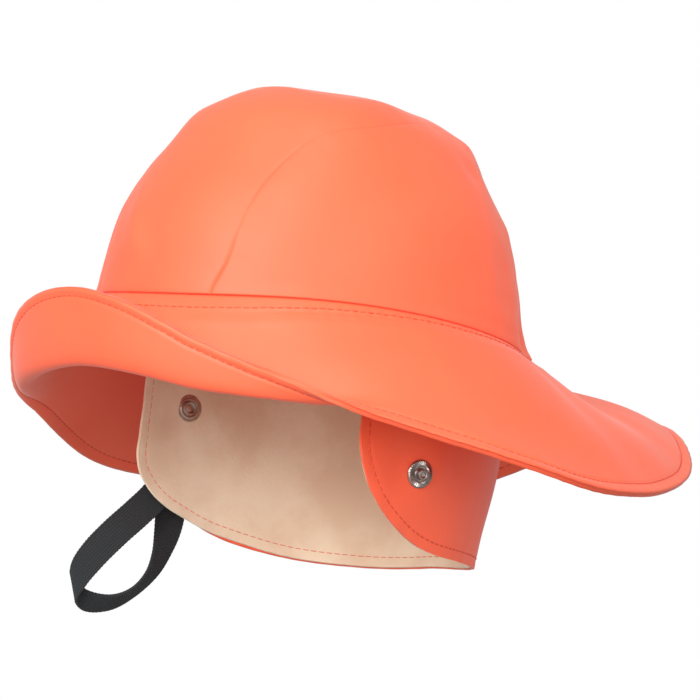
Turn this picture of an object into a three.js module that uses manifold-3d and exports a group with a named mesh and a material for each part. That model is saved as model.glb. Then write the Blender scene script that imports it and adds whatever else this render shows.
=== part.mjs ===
// A sou'wester: a rain hat of coated cloth with a tall three-piece crown, a wide brim that is turned up
// in front and runs out long at the back, and a lined flap that hangs round the ears and the neck.
// Millimetres. The hat is as it is worn: -Y is the wearer's front, +X the wearer's left, +Z is up, and
// the origin is the middle of the head opening, in the plane of the seam between crown and brim.
import * as THREE from "three";
import { mergeVertices } from "three/addons/utils/BufferGeometryUtils.js";
import Module from "manifold-3d";

const wasm = await Module();
wasm.setup();

// Driving dimensions
const HEAD_HALF_LENGTH = 103; // outside of the crown at the seam, front to back
const HEAD_HALF_WIDTH = 86; // outside of the crown at the seam, side to side
const TILT_BACK = 10.8; // degrees that the hat sits back on the head
const CLOTH = 1.5; // crown cloth
const BRIM_CLOTH = 2.3; // two plies sewn together
const FLAP_CLOTH = 1.3;
const LINING_CLOTH = 1.3;
const GAP = 0.3; // between pieces that are sewn or riveted together
const SEAM_WAVE = 2.8; // the seam lies this much higher at the sides and lower at the front and back

// Crown: one row for each section above the seam. front, back and side are half sizes of the section,
// square is the exponent of its outline (2 is an ellipse).
const CROWN = table("height front back side square", [
  [2 * GAP, 104.6, 104.6, 87.8, 2],
  [5, 103.6, 102.2, 86.8, 2],
  [24, 101.5, 92.5, 84.5, 2.05],
  [45, 94, 85, 79.5, 2.1],
  [66, 79.5, 74, 70, 2.15],
  [84, 67.5, 67, 58, 2.2],
  [94, 52.5, 55.5, 47, 2.2],
  [101, 37, 36, 32.5, 2.1],
  [104.5, 0, 0, 0, 2],
]);
const CROWN_TOP_FORWARD = 5; // the top of the crown sits this far in front of the middle
// Centre strip that runs front, top, back. Its seams run a little further apart over the front of the top.
const STRIP = { halfWidth: 41.5, wider: 13, widestAt: -27, spread: 35 };
// Soft dents in the crown cloth, and where the depth is negative bulges: where each lies, how far it
// spreads and how deep it is.
const DENTS = table("azimuth height spreadAzimuth spreadHeight depth", [
  [-60, 88, 18, 12, 1.6],
  [30, 60, 9, 34, 1.2],
  [-28, 40, 8, 30, 1.2],
  [95, 92, 24, 10, 1.6],
  [138, 88, 16, 6, -1],
  [138, 72, 18, 9, 0.8],
  [-44, 22, 16, 20, -0.8],
]);

// Brim: one row for each direction round the head, 0 at the front and 180 at the back, alike on both
// sides. out is measured from the seam, square to it, and up from the seam plane.
const BRIM = table("azimuth midOut midUp foldOut foldUp edgeOut edgeUp", [
  [0, 13, -20, 26, -39, 34, -7.8],
  [20, 13, -22, 27, -42.5, 34.5, -16],
  [39, 13, -22, 27, -45.5, 32.5, -35.5],
  [52, 15, -22, 28, -44, 36, -43.5],
  [64, 16, -22, 28, -40, 37, -50],
  [75, 17, -21, 31, -40, 44, -54.5],
  [90, 20, -21, 39, -43, 57, -60],
  [105, 22, -18, 44, -41, 64, -61],
  [120, 23, -16.5, 46, -36, 65, -58],
  [135, 23, -13.5, 49, -29.5, 71, -50],
  [150, 26, -9.5, 57, -20.5, 82, -37],
  [160, 29, -6, 63, -12, 90, -23.5],
  [170, 33, 0, 70, -4, 99, -9.5],
  [180, 35, 3, 73, -0.3, 104, -4],
]);

const BRIM_ALLOWANCE = { out: -2.6, up: -0.6 }; // cloth turned in under the crown, from the seam
// The long back of the brim hangs a little lower on the wearer's right: how much, where and how widely.
// Its fold takes a part of that.
const RIGHT_DROOP = { depth: 15, azimuth: 201, spread: 17, foldShare: 0.4 };

// Ear and neck flap: its front edges, and one row for each direction, alike on both sides. bottom is the
// height of its lower edge, and lean how far that edge hangs out of line with the top.
const FLAP_FRONT_LEFT = 71;
const FLAP_FRONT_RIGHT = 73;
const FLAP_TOP = -2.5;
const FLAP_INSET = 3; // outer face of the flap, inside the seam
const FLAP = table("azimuth bottom lean", [
  [71, -60, 0],
  [73, -67, -1],
  [77, -75, -2],
  [84, -82.5, -4],
  [93, -88, -6],
  [106, -93, -7],
  [125, -95.5, -8],
  [150, -96, -8],
  [180, -94.5, -7],
]);
const LINING_HEM = 1; // the lining stops this far inside the flap's edges
const MM_PER_DEGREE = 1.6; // along the flap, near its front edges

// Snap fastener
const SNAP_RADIUS = 6.25;
const SNAP_SEAT = 0.5; // a snap's flat foot stands this far off the curved cloth
const SNAP_STUD_AT = { azimuth: 91, height: -64 };
const SNAP_SOCKET_AT = { azimuth: -90.3, height: -37 };

// Elastic loop: its two ends lie one on the other, flat on the outer face of the flap. Its route hangs in a
// plane turned about Z: across the plane, up, and out towards the wearer's left front. The last three
// columns are the direction of the ribbon's width at each station.
const LOOP_TURN = 48;
const LOOP_WIDTH = 14;
const LOOP_CLOTH = 1.5;
const LOOP = table("across up out widthAcross widthUp widthOut", [
  [-63.8, -57, -51.3, -0.7, 0.35, 0.63],
  [-65.8, -64, -50.1, -0.7, 0.4, 0.6],
  [-72, -75, -49, -0.7, 0.65, 0.25],
  [-81, -84, -47, -0.68, 0.72, 0.1],
  [-90, -92, -45, -0.64, 0.76, 0.1],
  [-100, -102, -45, -0.55, 0.83, 0.1],
  [-108, -111, -47, -0.38, 0.92, 0.1],
  [-111, -118, -52, -0.15, 0.96, 0.2],
  [-106, -124, -58, 0, 0.75, 0.66],
  [-95, -125, -62, 0, 0.5, 0.87],
  [-85, -120.5, -63, -0.1, 0.25, 0.96],
  [-76.5, -112, -63, -0.35, 0.1, 0.93],
  [-71.5, -102, -63, -0.6, 0.05, 0.8],
  [-68.5, -92, -63, -0.85, 0, 0.5],
  [-66.8, -80, -61.5, -1, 0, 0.2],
  [-65.2, -71, -57.5, -0.85, 0, 0.52],
  [-64.2, -64, -54.4, -0.76, 0, 0.65],
  [-64.2, -57, -53.7, -0.74, 0, 0.67],
]);

const COLOR = { coral: 0xf5714f, cream: 0xd8bb9c, black: 0x1e2022, metal: 0x8c8883 };

// Rows of numbers as objects with named columns.
function table(columns, rows) {
  const names = columns.split(" ");
  return rows.map((row) => Object.fromEntries(names.map((name, k) => [name, row[k]])));
}

// A smooth curve through the rows of a table: the value of column `name` where column `key` is x.
// With `level` the curve is level at both ends, as where two like halves of the hat meet.
function read(rows, key, name, x, level = false) {
  const last = rows.length - 1;
  let k = 0;
  while (k < last - 1 && x > rows[k + 1][key]) k++;
  const slope = (i) => {
    if (level && (i === 0 || i === last)) return 0;
    const [a, b] = [rows[Math.max(i - 1, 0)], rows[Math.min(i + 1, last)]];
    return (b[name] - a[name]) / (b[key] - a[key]);
  };
  const [a, b] = [rows[k], rows[k + 1]];
  const span = b[key] - a[key];
  const t = (x - a[key]) / span;
  const [t2, t3] = [t * t, t * t * t];
  return (
    a[name] * (2 * t3 - 3 * t2 + 1) +
    b[name] * (3 * t2 - 2 * t3) +
    span * (slope(k) * (t3 - 2 * t2 + t) + slope(k + 1) * (t3 - t2))
  );
}

const steps = (n, from, to) => Array.from({ length: n + 1 }, (_, k) => from + ((to - from) * k) / n);
const folded = (azimuth) => Math.abs(((azimuth + 540) % 360) - 180); // 0 front to 180 back, either side

const seamHeight = (azimuth) => -SEAM_WAVE * Math.cos(2 * THREE.MathUtils.degToRad(azimuth));

// The seam oval at an azimuth, moved outwards square to itself.
function seamPoint(azimuth, out, up) {
  const a = THREE.MathUtils.degToRad(azimuth);
  const point = new THREE.Vector3(HEAD_HALF_WIDTH * Math.sin(a), -HEAD_HALF_LENGTH * Math.cos(a), up);
  const normal = new THREE.Vector3(HEAD_HALF_LENGTH * Math.sin(a), -HEAD_HALF_WIDTH * Math.cos(a), 0);
  return point.addScaledVector(normal.normalize(), out);
}

function crownPoint(azimuth, row) {
  const rows = CROWN.map((r, k) => ({ ...r, k }));
  const [height, front, back, side, square] = ["height", "front", "back", "side", "square"].map((name) =>
    read(rows, "k", name, row),
  );
  const a = THREE.MathUtils.degToRad(azimuth);
  const bent = (v) => Math.sign(v) * Math.abs(v) ** (2 / square);
  const half = Math.cos(a) > 0 ? front : back;
  let dent = 0;
  for (const d of DENTS) {
    const turn = ((azimuth - d.azimuth + 540) % 360) - 180;
    dent += d.depth * Math.exp(-((turn / d.spreadAzimuth) ** 2) - ((height - d.height) / d.spreadHeight) ** 2);
  }
  const pull = front > 1 ? 1 - dent / front : 1;
  const forward = CROWN_TOP_FORWARD * (height / CROWN.at(-1).height) ** 2;
  const wave = seamHeight(azimuth) * (1 - height / CROWN.at(-1).height) ** 2;
  return new THREE.Vector3(
    side * pull * bent(Math.sin(a)),
    -half * pull * bent(Math.cos(a)) - forward,
    height + wave,
  );
}

// The brim's section at an azimuth, from its inner edge by the seam, the middle and the fold to its edge.
function brimProfile(azimuth) {
  const get = (name) => read(BRIM, "azimuth", name, folded(azimuth), true);
  const seam = seamHeight(azimuth);
  const { depth, azimuth: lowest, spread, foldShare } = RIGHT_DROOP;
  const droop = depth * Math.exp(-(((azimuth - lowest) / spread) ** 2));
  const stops = [
    [BRIM_ALLOWANCE.out, BRIM_ALLOWANCE.up + seam],
    [0, seam],
    [get("midOut"), get("midUp") + seam],
    [get("foldOut"), get("foldUp") - droop * foldShare],
    [get("edgeOut"), get("edgeUp") - droop],
  ];
  const points = stops.map(([out, up]) => new THREE.Vector3(out, up, 0));
  return new THREE.CatmullRomCurve3(points, false, "centripetal");
}

// The flap's faces: inset is measured in from the seam, down is 0 at the top and 1 at the lower edge.
function flapPoint(azimuth, down, inset, hem) {
  const get = (name) => read(FLAP, "azimuth", name, folded(azimuth));
  const top = FLAP_TOP + seamHeight(azimuth);
  return seamPoint(azimuth, -inset + get("lean") * down * down, top + (get("bottom") + hem - top) * down);
}

// A closed wall: `grid` is one of its faces, columns of points, and the other lies `offset` from it.
function wall(grid, offset, loop) {
  const columns = grid.length;
  const rows = grid[0].length;
  const at = (i, j) => grid[loop ? (i + columns) % columns : THREE.MathUtils.clamp(i, 0, columns - 1)][j];
  const positions = [];
  for (const side of [0, 1])
    for (let i = 0; i < columns; i++)
      for (let j = 0; j < rows; j++) {
        const around = at(i + 1, j).clone().sub(at(i - 1, j));
        if (around.length() < 0.01) around.copy(at(i + 1, j - 1)).sub(at(i - 1, j - 1));
        const along = at(i, Math.min(j + 1, rows - 1)).clone().sub(at(i, Math.max(j - 1, 0)));
        const pole = loop && at(i, j).distanceTo(at(i + 1, j)) < 0.01;
        const normal = pole ? new THREE.Vector3(0, 0, 1) : around.cross(along).normalize();
        positions.push(...at(i, j).clone().addScaledVector(normal, side * offset).toArray());
      }
  const id = (side, i, j) => side * columns * rows + (i % columns) * rows + j;
  const index = [];
  const quad = (a, b, c, d) => index.push(a, b, c, a, c, d);
  const spans = loop ? columns : columns - 1;
  for (let i = 0; i < spans; i++) {
    for (let j = 0; j < rows - 1; j++) {
      quad(id(0, i, j), id(0, i + 1, j), id(0, i + 1, j + 1), id(0, i, j + 1));
      quad(id(1, i, j), id(1, i, j + 1), id(1, i + 1, j + 1), id(1, i + 1, j));
    }
    quad(id(0, i, 0), id(1, i, 0), id(1, i + 1, 0), id(0, i + 1, 0));
    quad(id(0, i, rows - 1), id(0, i + 1, rows - 1), id(1, i + 1, rows - 1), id(1, i, rows - 1));
  }
  if (!loop)
    for (let j = 0; j < rows - 1; j++) {
      quad(id(0, 0, j), id(0, 0, j + 1), id(1, 0, j + 1), id(1, 0, j));
      quad(id(0, spans, j), id(1, spans, j), id(1, spans, j + 1), id(0, spans, j + 1));
    }
  return closed(positions, index);
}

// A geometry whose doubled points are merged, with its faces pointing out.
function closed(positions, index) {
  const raw = new THREE.BufferGeometry();
  raw.setAttribute("position", new THREE.Float32BufferAttribute(positions, 3));
  raw.setIndex(index);
  const merged = mergeVertices(raw, 1e-3);
  const p = merged.attributes.position;
  const kept = [];
  let volume = 0;
  for (let k = 0; k < merged.index.count; k += 3) {
    const [a, b, c] = [0, 1, 2].map((n) => merged.index.getX(k + n));
    if (a === b || b === c || c === a) continue;
    kept.push([a, b, c]);
    const [u, v, w] = [a, b, c].map((n) => new THREE.Vector3().fromBufferAttribute(p, n));
    volume += u.dot(v.cross(w));
  }
  merged.setIndex(kept.flatMap(([a, b, c]) => (volume > 0 ? [a, b, c] : [a, c, b])));
  return merged;
}

function solid(geometry) {
  const bare = geometry.clone();
  bare.deleteAttribute("normal");
  bare.deleteAttribute("uv");
  const merged = mergeVertices(bare, 1e-3);
  return new wasm.Manifold(
    new wasm.Mesh({
      numProp: 3,
      vertProperties: merged.attributes.position.array,
      triVerts: new Uint32Array(merged.index.array),
    }),
  );
}

function geometryOf(manifold) {
  const mesh = manifold.getMesh();
  const geometry = new THREE.BufferGeometry();
  geometry.setAttribute("position", new THREE.Float32BufferAttribute(mesh.vertProperties, 3));
  geometry.setIndex(new THREE.Uint32BufferAttribute(mesh.triVerts, 1));
  return geometry;
}

function piece(name, geometry, color, roughness, metalness = 0) {
  geometry.computeVertexNormals();
  const mesh = new THREE.Mesh(geometry, new THREE.MeshStandardMaterial({ color, roughness, metalness }));
  mesh.name = name;
  return mesh;
}

// Half the centre strip's width at y, seen from above.
const stripHalf = (y) =>
  STRIP.halfWidth + STRIP.wider * Math.exp(-(((y - STRIP.widestAt) / STRIP.spread) ** 2));

// Crown: one shell, cut along the two lengthwise seams into a centre strip and two sides.
function crown() {
  const sides = 56;
  const rings = steps(13, 0, CROWN.length - 1);
  const grid = steps(sides, 0, 360).slice(0, -1).map((a) => rings.map((row) => crownPoint(a, row)));
  const shell = solid(wall(grid, -CLOTH, true));
  const reach = 200; // past the crown on every side
  const slab = (from, to) => {
    const places = [-reach, ...steps(15, -105, 105), reach];
    const outline = [
      ...places.map((y) => new THREE.Vector2(from(y), y)),
      ...places.reverse().map((y) => new THREE.Vector2(to(y), y)),
    ];
    const plate = new THREE.ExtrudeGeometry(new THREE.Shape(outline), { depth: reach, bevelEnabled: false });
    return solid(plate.translate(0, 0, -reach / 4));
  };
  const cuts = {
    crown_center_strip: [(y) => GAP / 2 - stripHalf(y), (y) => stripHalf(y) - GAP / 2],
    crown_side_left: [(y) => stripHalf(y) + GAP / 2, () => reach],
    crown_side_right: [() => -reach, (y) => -stripHalf(y) - GAP / 2],
  };
  return Object.entries(cuts).map(([name, [from, to]]) =>
    piece(name, geometryOf(shell.intersect(slab(from, to))), COLOR.coral, 0.5),
  );
}

function brim() {
  const grid = steps(72, 0, 360).slice(0, -1).map((azimuth) => {
    const profile = brimProfile(azimuth);
    const seam = 1 / 4; // the second of the five stops
    return [0, ...steps(12, seam, 1)].map((t) => {
      const { x: out, y: up } = profile.getPoint(t);
      return seamPoint(azimuth, out, up - GAP);
    });
  });
  return piece("brim", wall(grid, BRIM_CLOTH, true), COLOR.coral, 0.5);
}

function flap(name, inset, cloth, hem, color, roughness) {
  const turn = hem / MM_PER_DEGREE;
  const grid = steps(38, FLAP_FRONT_LEFT + turn, 360 - FLAP_FRONT_RIGHT - turn).map((azimuth) =>
    steps(5, 0, 1).map((down) => flapPoint(azimuth, down, inset, hem)),
  );
  return piece(name, wall(grid, cloth, false), color, roughness);
}

// A turned metal piece that stands on the flap, with its foot `inset` from the seam.
function onFlap(mesh, { azimuth, height }, inset, outwards) {
  const top = FLAP_TOP + seamHeight(azimuth);
  const down = (height - top) / (read(FLAP, "azimuth", "bottom", folded(azimuth)) - top);
  const at = flapPoint(azimuth, down, inset, 0);
  const across = flapPoint(azimuth + 1, down, inset, 0).sub(flapPoint(azimuth - 1, down, inset, 0));
  const along = flapPoint(azimuth, down + 0.05, inset, 0).sub(flapPoint(azimuth, down - 0.05, inset, 0));
  const normal = along.cross(across).normalize().multiplyScalar(outwards ? 1 : -1);
  mesh.position.copy(at).addScaledVector(normal, SNAP_SEAT);
  mesh.quaternion.setFromUnitVectors(new THREE.Vector3(0, 1, 0), normal);
  return mesh;
}

function turned(name, profile) {
  const points = profile.map(([radius, height]) => new THREE.Vector2(radius * SNAP_RADIUS, height));
  return piece(name, new THREE.LatheGeometry(points, 20), COLOR.metal, 0.35, 0.9);
}

function snaps() {
  const stud = [[0, 0], [1, 0], [1, 0.5], [0.86, 1.1], [0.6, 1.1], [0.5, 0.6], [0.38, 0.8], [0.34, 2.6],
    [0.26, 3.1], [0, 3.1]];
  const socket = [[0, 0], [1, 0], [1, 0.7], [0.88, 1.3], [0.74, 1.3], [0.66, 0.8], [0.56, 0.8], [0.5, 1.9],
    [0.4, 2.1], [0.32, 1.8], [0.3, 0.7], [0, 0.7]];
  const ring = [[0, 0], [0.9, 0], [0.9, 0.5], [0.75, 0.9], [0, 0.9]];
  const inside = FLAP_INSET + FLAP_CLOTH + GAP + LINING_CLOTH;
  return [
    onFlap(turned("snap_stud", stud), SNAP_STUD_AT, FLAP_INSET, true),
    onFlap(turned("snap_stud_back_ring", ring), SNAP_STUD_AT, inside, false),
    onFlap(turned("snap_socket", socket), SNAP_SOCKET_AT, inside, false),
    onFlap(turned("snap_socket_back_ring", ring), SNAP_SOCKET_AT, FLAP_INSET, true),
  ];
}

function elasticLoop() {
  const route = new THREE.CatmullRomCurve3(LOOP.map((s) => new THREE.Vector3(s.across, s.up, s.out)));
  const widths = new THREE.CatmullRomCurve3(
    LOOP.map((s) => new THREE.Vector3(s.widthAcross, s.widthUp, s.widthOut)),
  );
  const turn = THREE.MathUtils.degToRad(LOOP_TURN);
  const world = (v) =>
    new THREE.Vector3(
      v.x * Math.cos(turn) + v.z * Math.sin(turn),
      v.x * Math.sin(turn) - v.z * Math.cos(turn),
      v.y,
    );
  const grid = steps(42, 0, 1).map((t) => {
    const center = route.getPoint(t);
    const width = widths.getPoint(t).normalize().multiplyScalar(LOOP_WIDTH / 2);
    return [-1, 1].map((side) => world(center.clone().addScaledVector(width, side)));
  });
  return piece("elastic_loop", wall(grid, LOOP_CLOTH, false), COLOR.black, 0.9);
}

const hat = new THREE.Group();
hat.rotation.x = -THREE.MathUtils.degToRad(TILT_BACK);
hat.add(
  ...crown(),
  brim(),
  flap("ear_neck_flap", FLAP_INSET, FLAP_CLOTH, 0, COLOR.coral, 0.5),
  flap("flap_lining", FLAP_INSET + FLAP_CLOTH + GAP, LINING_CLOTH, LINING_HEM, COLOR.cream, 0.95),
  ...snaps(),
);

const group = new THREE.Group();
group.add(hat, elasticLoop());
export default group;
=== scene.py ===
# %% [markdown]
# # A rain hat, dressed over its solids
# The hat comes in as plain solids at their real size: a three-piece crown, a brim, a flap with a
# flannel lining, two snap fasteners and an elastic loop. They hold the size and the places. This
# lesson makes the cloth, the seams, the stitches and the metal that one sees, piece by piece.

# %% Load the frame
import math

import bmesh
import bpy
import numpy as np
from mathutils import Matrix, Vector, noise
from mathutils.bvhtree import BVHTree
from mathutils.kdtree import KDTree


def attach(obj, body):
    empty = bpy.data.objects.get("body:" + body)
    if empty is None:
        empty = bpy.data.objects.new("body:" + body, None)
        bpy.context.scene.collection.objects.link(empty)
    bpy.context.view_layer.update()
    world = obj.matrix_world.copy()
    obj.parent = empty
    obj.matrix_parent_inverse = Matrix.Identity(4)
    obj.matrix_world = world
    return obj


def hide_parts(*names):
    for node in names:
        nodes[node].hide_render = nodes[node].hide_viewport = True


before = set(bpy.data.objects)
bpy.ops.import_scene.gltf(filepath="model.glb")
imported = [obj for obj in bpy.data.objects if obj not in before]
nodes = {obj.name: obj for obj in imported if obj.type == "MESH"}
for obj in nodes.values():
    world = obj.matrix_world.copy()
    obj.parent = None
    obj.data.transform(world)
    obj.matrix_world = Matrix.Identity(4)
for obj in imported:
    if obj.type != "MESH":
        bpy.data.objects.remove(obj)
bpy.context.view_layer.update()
MM = 0.001
print("solids:", ", ".join(sorted(nodes)))

# %% [markdown]
# ## The camera
# The picture was taken from the wearer's left front, level with the hat and from some way off, so
# the lens is long. The camera comes first, because everything else is judged through it.

# %% Camera
VIEW_TURN = math.radians(48)  # round from the wearer's front, towards the wearer's left
DISTANCE = 2200 * MM
AIM_RIGHT = 16 * MM
AIM_UP = -9.8 * MM
SENSOR_WIDTH = 36
IMAGE_WIDTH = 700
FOCAL_LENGTH_IN_PIXELS = 4950

to_right = Vector((math.cos(VIEW_TURN), math.sin(VIEW_TURN), 0))
to_camera = Vector((math.sin(VIEW_TURN), -math.cos(VIEW_TURN), 0))
camera = bpy.data.objects.new("camera", bpy.data.cameras.new("camera"))
camera.data.sensor_width = SENSOR_WIDTH
camera.data.lens = SENSOR_WIDTH * FOCAL_LENGTH_IN_PIXELS / IMAGE_WIDTH
camera.location = to_camera * DISTANCE + to_right * AIM_RIGHT + Vector((0, 0, AIM_UP))
camera.rotation_euler = (math.pi / 2, 0, VIEW_TURN)
bpy.context.scene.collection.objects.link(camera)
bpy.context.scene.camera = camera
print(f"camera lens {camera.data.lens:.0f} mm")

# %% [markdown]
# ## Working by hand, in code
# Every operator acts on what is selected, so each step starts by selecting one object and nothing
# else. These few helpers are the same moves that one makes in the window: go into edit mode, pick
# faces by where they are, and apply a modifier when it has done its work.

# %% Helpers for selecting and shaping
def only(obj):
    """Makes obj the one selected and active object, in object mode."""
    if bpy.context.object and bpy.context.object.mode != "OBJECT":
        bpy.ops.object.mode_set(mode="OBJECT")
    bpy.ops.object.select_all(action="DESELECT")
    obj.select_set(True)
    bpy.context.view_layer.objects.active = obj
    return obj


def edit(obj, mode="FACE"):
    """Opens obj in edit mode with nothing selected."""
    only(obj)
    bpy.ops.object.mode_set(mode="EDIT")
    bpy.ops.mesh.select_mode(type=mode)
    bpy.ops.mesh.select_all(action="DESELECT")
    return bmesh.from_edit_mesh(obj.data)


def leave(obj):
    """Back to object mode."""
    bmesh.update_edit_mesh(obj.data)
    bpy.ops.object.mode_set(mode="OBJECT")
    return obj


def pick(obj, faces):
    """Selects these faces of the mesh that is open in edit mode."""
    for face in faces:
        face.select_set(True)
    bmesh.update_edit_mesh(obj.data)


def new_piece(name, primitive, **settings):
    """A new primitive, named and selected alone."""
    bpy.ops.object.select_all(action="DESELECT")
    primitive(**settings)
    obj = bpy.context.object
    obj.name = obj.data.name = name
    return obj


def apply(obj, kind, **settings):
    """Adds a modifier, sets it and applies it."""
    only(obj)
    modifier = obj.modifiers.new(kind.lower(), kind)
    for name, value in settings.items():
        setattr(modifier, name, value)
    if kind == "SUBSURF":
        modifier.render_levels = modifier.levels
    bpy.ops.object.modifier_apply(modifier=modifier.name)
    return obj


def get_points(obj):
    points = np.empty(len(obj.data.vertices) * 3)
    obj.data.vertices.foreach_get("co", points)
    return points.reshape(-1, 3)


def set_points(obj, points):
    obj.data.vertices.foreach_set("co", np.ascontiguousarray(points, dtype=float).ravel())
    obj.data.update()


def get_normals(obj):
    normals = np.empty(len(obj.data.vertices) * 3)
    obj.data.vertex_normals.foreach_get("vector", normals)
    return normals.reshape(-1, 3)


print("helpers ready")

# %% [markdown]
# ## The hat's own upright frame
# The hat is worn tilted back, so its seam isn't level. It is far easier to model it upright, where
# the seam lies in the floor plane, and to tilt each piece back when it is done. A copy of a solid is
# merged first, because a solid comes in as loose triangles, and its triangles are paired into quads.

# %% Copies of the solids, upright
TILT_BACK = math.radians(10.8)
TILT = Matrix.Rotation(-TILT_BACK, 4, "X")
SAME_PLACE = 0.001 * MM  # points closer than this are one point


def upright_copy(name, *sources):
    """One merged mesh of quads from these solids, turned upright."""
    copies = []
    for source in sources:
        copy = bpy.data.objects.new(name, nodes[source].data.copy())
        copy.data.materials.clear()
        bpy.context.scene.collection.objects.link(copy)
        copies.append(copy)
    only(copies[0])
    for copy in copies:
        copy.select_set(True)
    if len(copies) > 1:
        bpy.ops.object.join()
    obj = copies[0]
    obj.data.transform(TILT.inverted())
    edit(obj)
    bpy.ops.mesh.select_all(action="SELECT")
    bpy.ops.mesh.remove_doubles(threshold=SAME_PLACE)
    bpy.ops.mesh.tris_convert_to_quads(face_threshold=math.pi, shape_threshold=math.pi)
    return leave(obj)


def tilted(obj):
    """Turns a finished upright piece back to the way it is worn."""
    obj.data.transform(TILT)
    obj.data.update()
    return obj


def keep_side(obj, start, sharpness=70):
    """Keeps the one side of a cloth wall that holds the face nearest to a place."""
    mesh = edit(obj)
    nearest = min(mesh.faces, key=lambda face: (face.calc_center_median() - start).length)
    mesh.faces.active = nearest
    pick(obj, [nearest])
    bpy.ops.mesh.faces_select_linked_flat(sharpness=math.radians(sharpness))
    bpy.ops.mesh.select_all(action="INVERT")
    bpy.ops.mesh.delete(type="FACE")
    return leave(obj)


print(f"the hat is tilted back {math.degrees(TILT_BACK):.1f} degrees")

# %% [markdown]
# The crown will be drawn onto a block, as a hatter does it. The outside of the crown's solids is a
# good block: their inner faces and the cuts between them are deleted.

# %% Hat block
OUTWARDS = 0.55  # a face whose normal leans this much away from the head is on the outside

block = upright_copy("hat_block", "crown_center_strip", "crown_side_left", "crown_side_right")
mesh = edit(block)
pick(block, [f for f in mesh.faces if f.normal.dot(f.calc_center_median().normalized()) < OUTWARDS])
bpy.ops.mesh.delete(type="FACE")
leave(block)
block_box = get_points(block).min(0), get_points(block).max(0)
print("hat block", len(block.data.polygons), "faces,", np.round(block_box[1] / MM), "mm")

# %% [markdown]
# ## Fields on the cloth
# Puckers, channels and rolled edges all follow an edge or a seam. So each is a small push along the
# surface, whose strength depends on how far a point is from a line. The lines are the open edges of
# a sheet, in order, and the distances come from a nearest-point tree.

# %% Edges of a sheet, and distances from a line
LINE_STEP = 0.5 * MM  # a line is followed in steps no longer than this


def open_edges(obj):
    """Each open edge of a sheet as the ordered indices of its vertices."""
    mesh = bmesh.new()
    mesh.from_mesh(obj.data)
    mesh.verts.ensure_lookup_table()
    ahead = {}
    for edge in mesh.edges:
        if edge.is_boundary:
            loop = edge.link_loops[0]
            ahead[loop.vert.index] = loop.link_loop_next.vert.index
    loops = []
    while ahead:
        start, here = next(iter(ahead.items()))
        loop = [start]
        del ahead[start]
        while here != start and here in ahead:
            loop.append(here)
            here = ahead.pop(here)
        loops.append(loop)
    mesh.free()
    return sorted(loops, key=lambda loop: len(loop))


def dense(line, closed=True):
    """A line with points no further apart than LINE_STEP."""
    ends = np.roll(line, -1, axis=0) if closed else line[1:]
    out = []
    for a, b in zip(line, ends):
        count = max(1, math.ceil(np.linalg.norm(b - a) / LINE_STEP))
        out.extend(a + (b - a) * k / count for k in range(count))
    return np.array(out)


def nearest_of(points, places):
    """For each point, which of the places is nearest to it and how far away that is."""
    tree = KDTree(len(places))
    for k, place in enumerate(places):
        tree.insert(place, k)
    tree.balance()
    found = [tree.find(point) for point in points]
    return np.array([f[1] for f in found]), np.array([f[2] for f in found])


def distances(points, line, closed=True):
    """How far each point is from a line, and about how far along the line it is."""
    nearest, away = nearest_of(points, dense(np.asarray(line), closed))
    return away, nearest * LINE_STEP


print(f"lines are followed in steps of {LINE_STEP / MM} mm")

# %% [markdown]
# A push fades like a bell on both sides of its line. Where cloth is slack, smooth noise moves it,
# and where a fold lies is said by its direction round the head.

# %% Bells, waves and directions
NOISE_SHIFT = (7.3, 3.1, 5.7)  # each seed reads the noise this far from the last one
NOISE_GAIN = 1.6  # brings the noise to about -1 to 1


def bell(distance, width):
    return np.exp(-((distance / width) ** 2))


def waves(points, size, seed):
    """Smooth noise from -1 to 1 whose bumps are about size across."""
    shift = Vector([seed * step for step in NOISE_SHIFT])
    return np.array([noise.noise(Vector(p) + shift) for p in points / size]) * NOISE_GAIN


def ripples(along, length, wander):
    """Waves along a line, one each length, that wander by some radians."""
    return np.sin(2 * math.pi * along / length + wander)


def turn_of(points):
    """Each point's direction round the head in degrees: 0 in front, 90 on the wearer's left."""
    return np.degrees(np.arctan2(points[:, 0], -points[:, 1]))


def turned_from(points, turn):
    """How many degrees each point lies from a direction round the head."""
    return (turn_of(points) - turn + 180) % 360 - 180


print("a bell is down to", round(float(bell(1.0, 1.0)), 2), "at its width")

# %% [markdown]
# ## The crown, blocked like felt on a hat block
# The real crown is three pieces of cloth: a strip that runs from the front over the top to the back,
# and a rounded piece on each side. It could be lofted from sections, but then each panel would need
# its own. One smooth shell is blocked first and cut into the three panels later, as that keeps the
# panels flush. A sphere of the crown's own proportions is a good start. Its crowded pole is swapped
# for an even grid, and a shrinkwrap draws it onto the block.

# %% Crown shell
CROWN_SEGMENTS = 64
CROWN_RINGS = 32
CAGE_LOOSE = 1.05
POLE_LATITUDE = 62
SEAM_WAVE = 2.8 * MM  # the crown seam is this much higher at the sides, lower in front and behind
CROWN_FOOT = 0.6 * MM  # the solid starts this far above the seam
RIM_SLACK = 0.01 * MM

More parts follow.
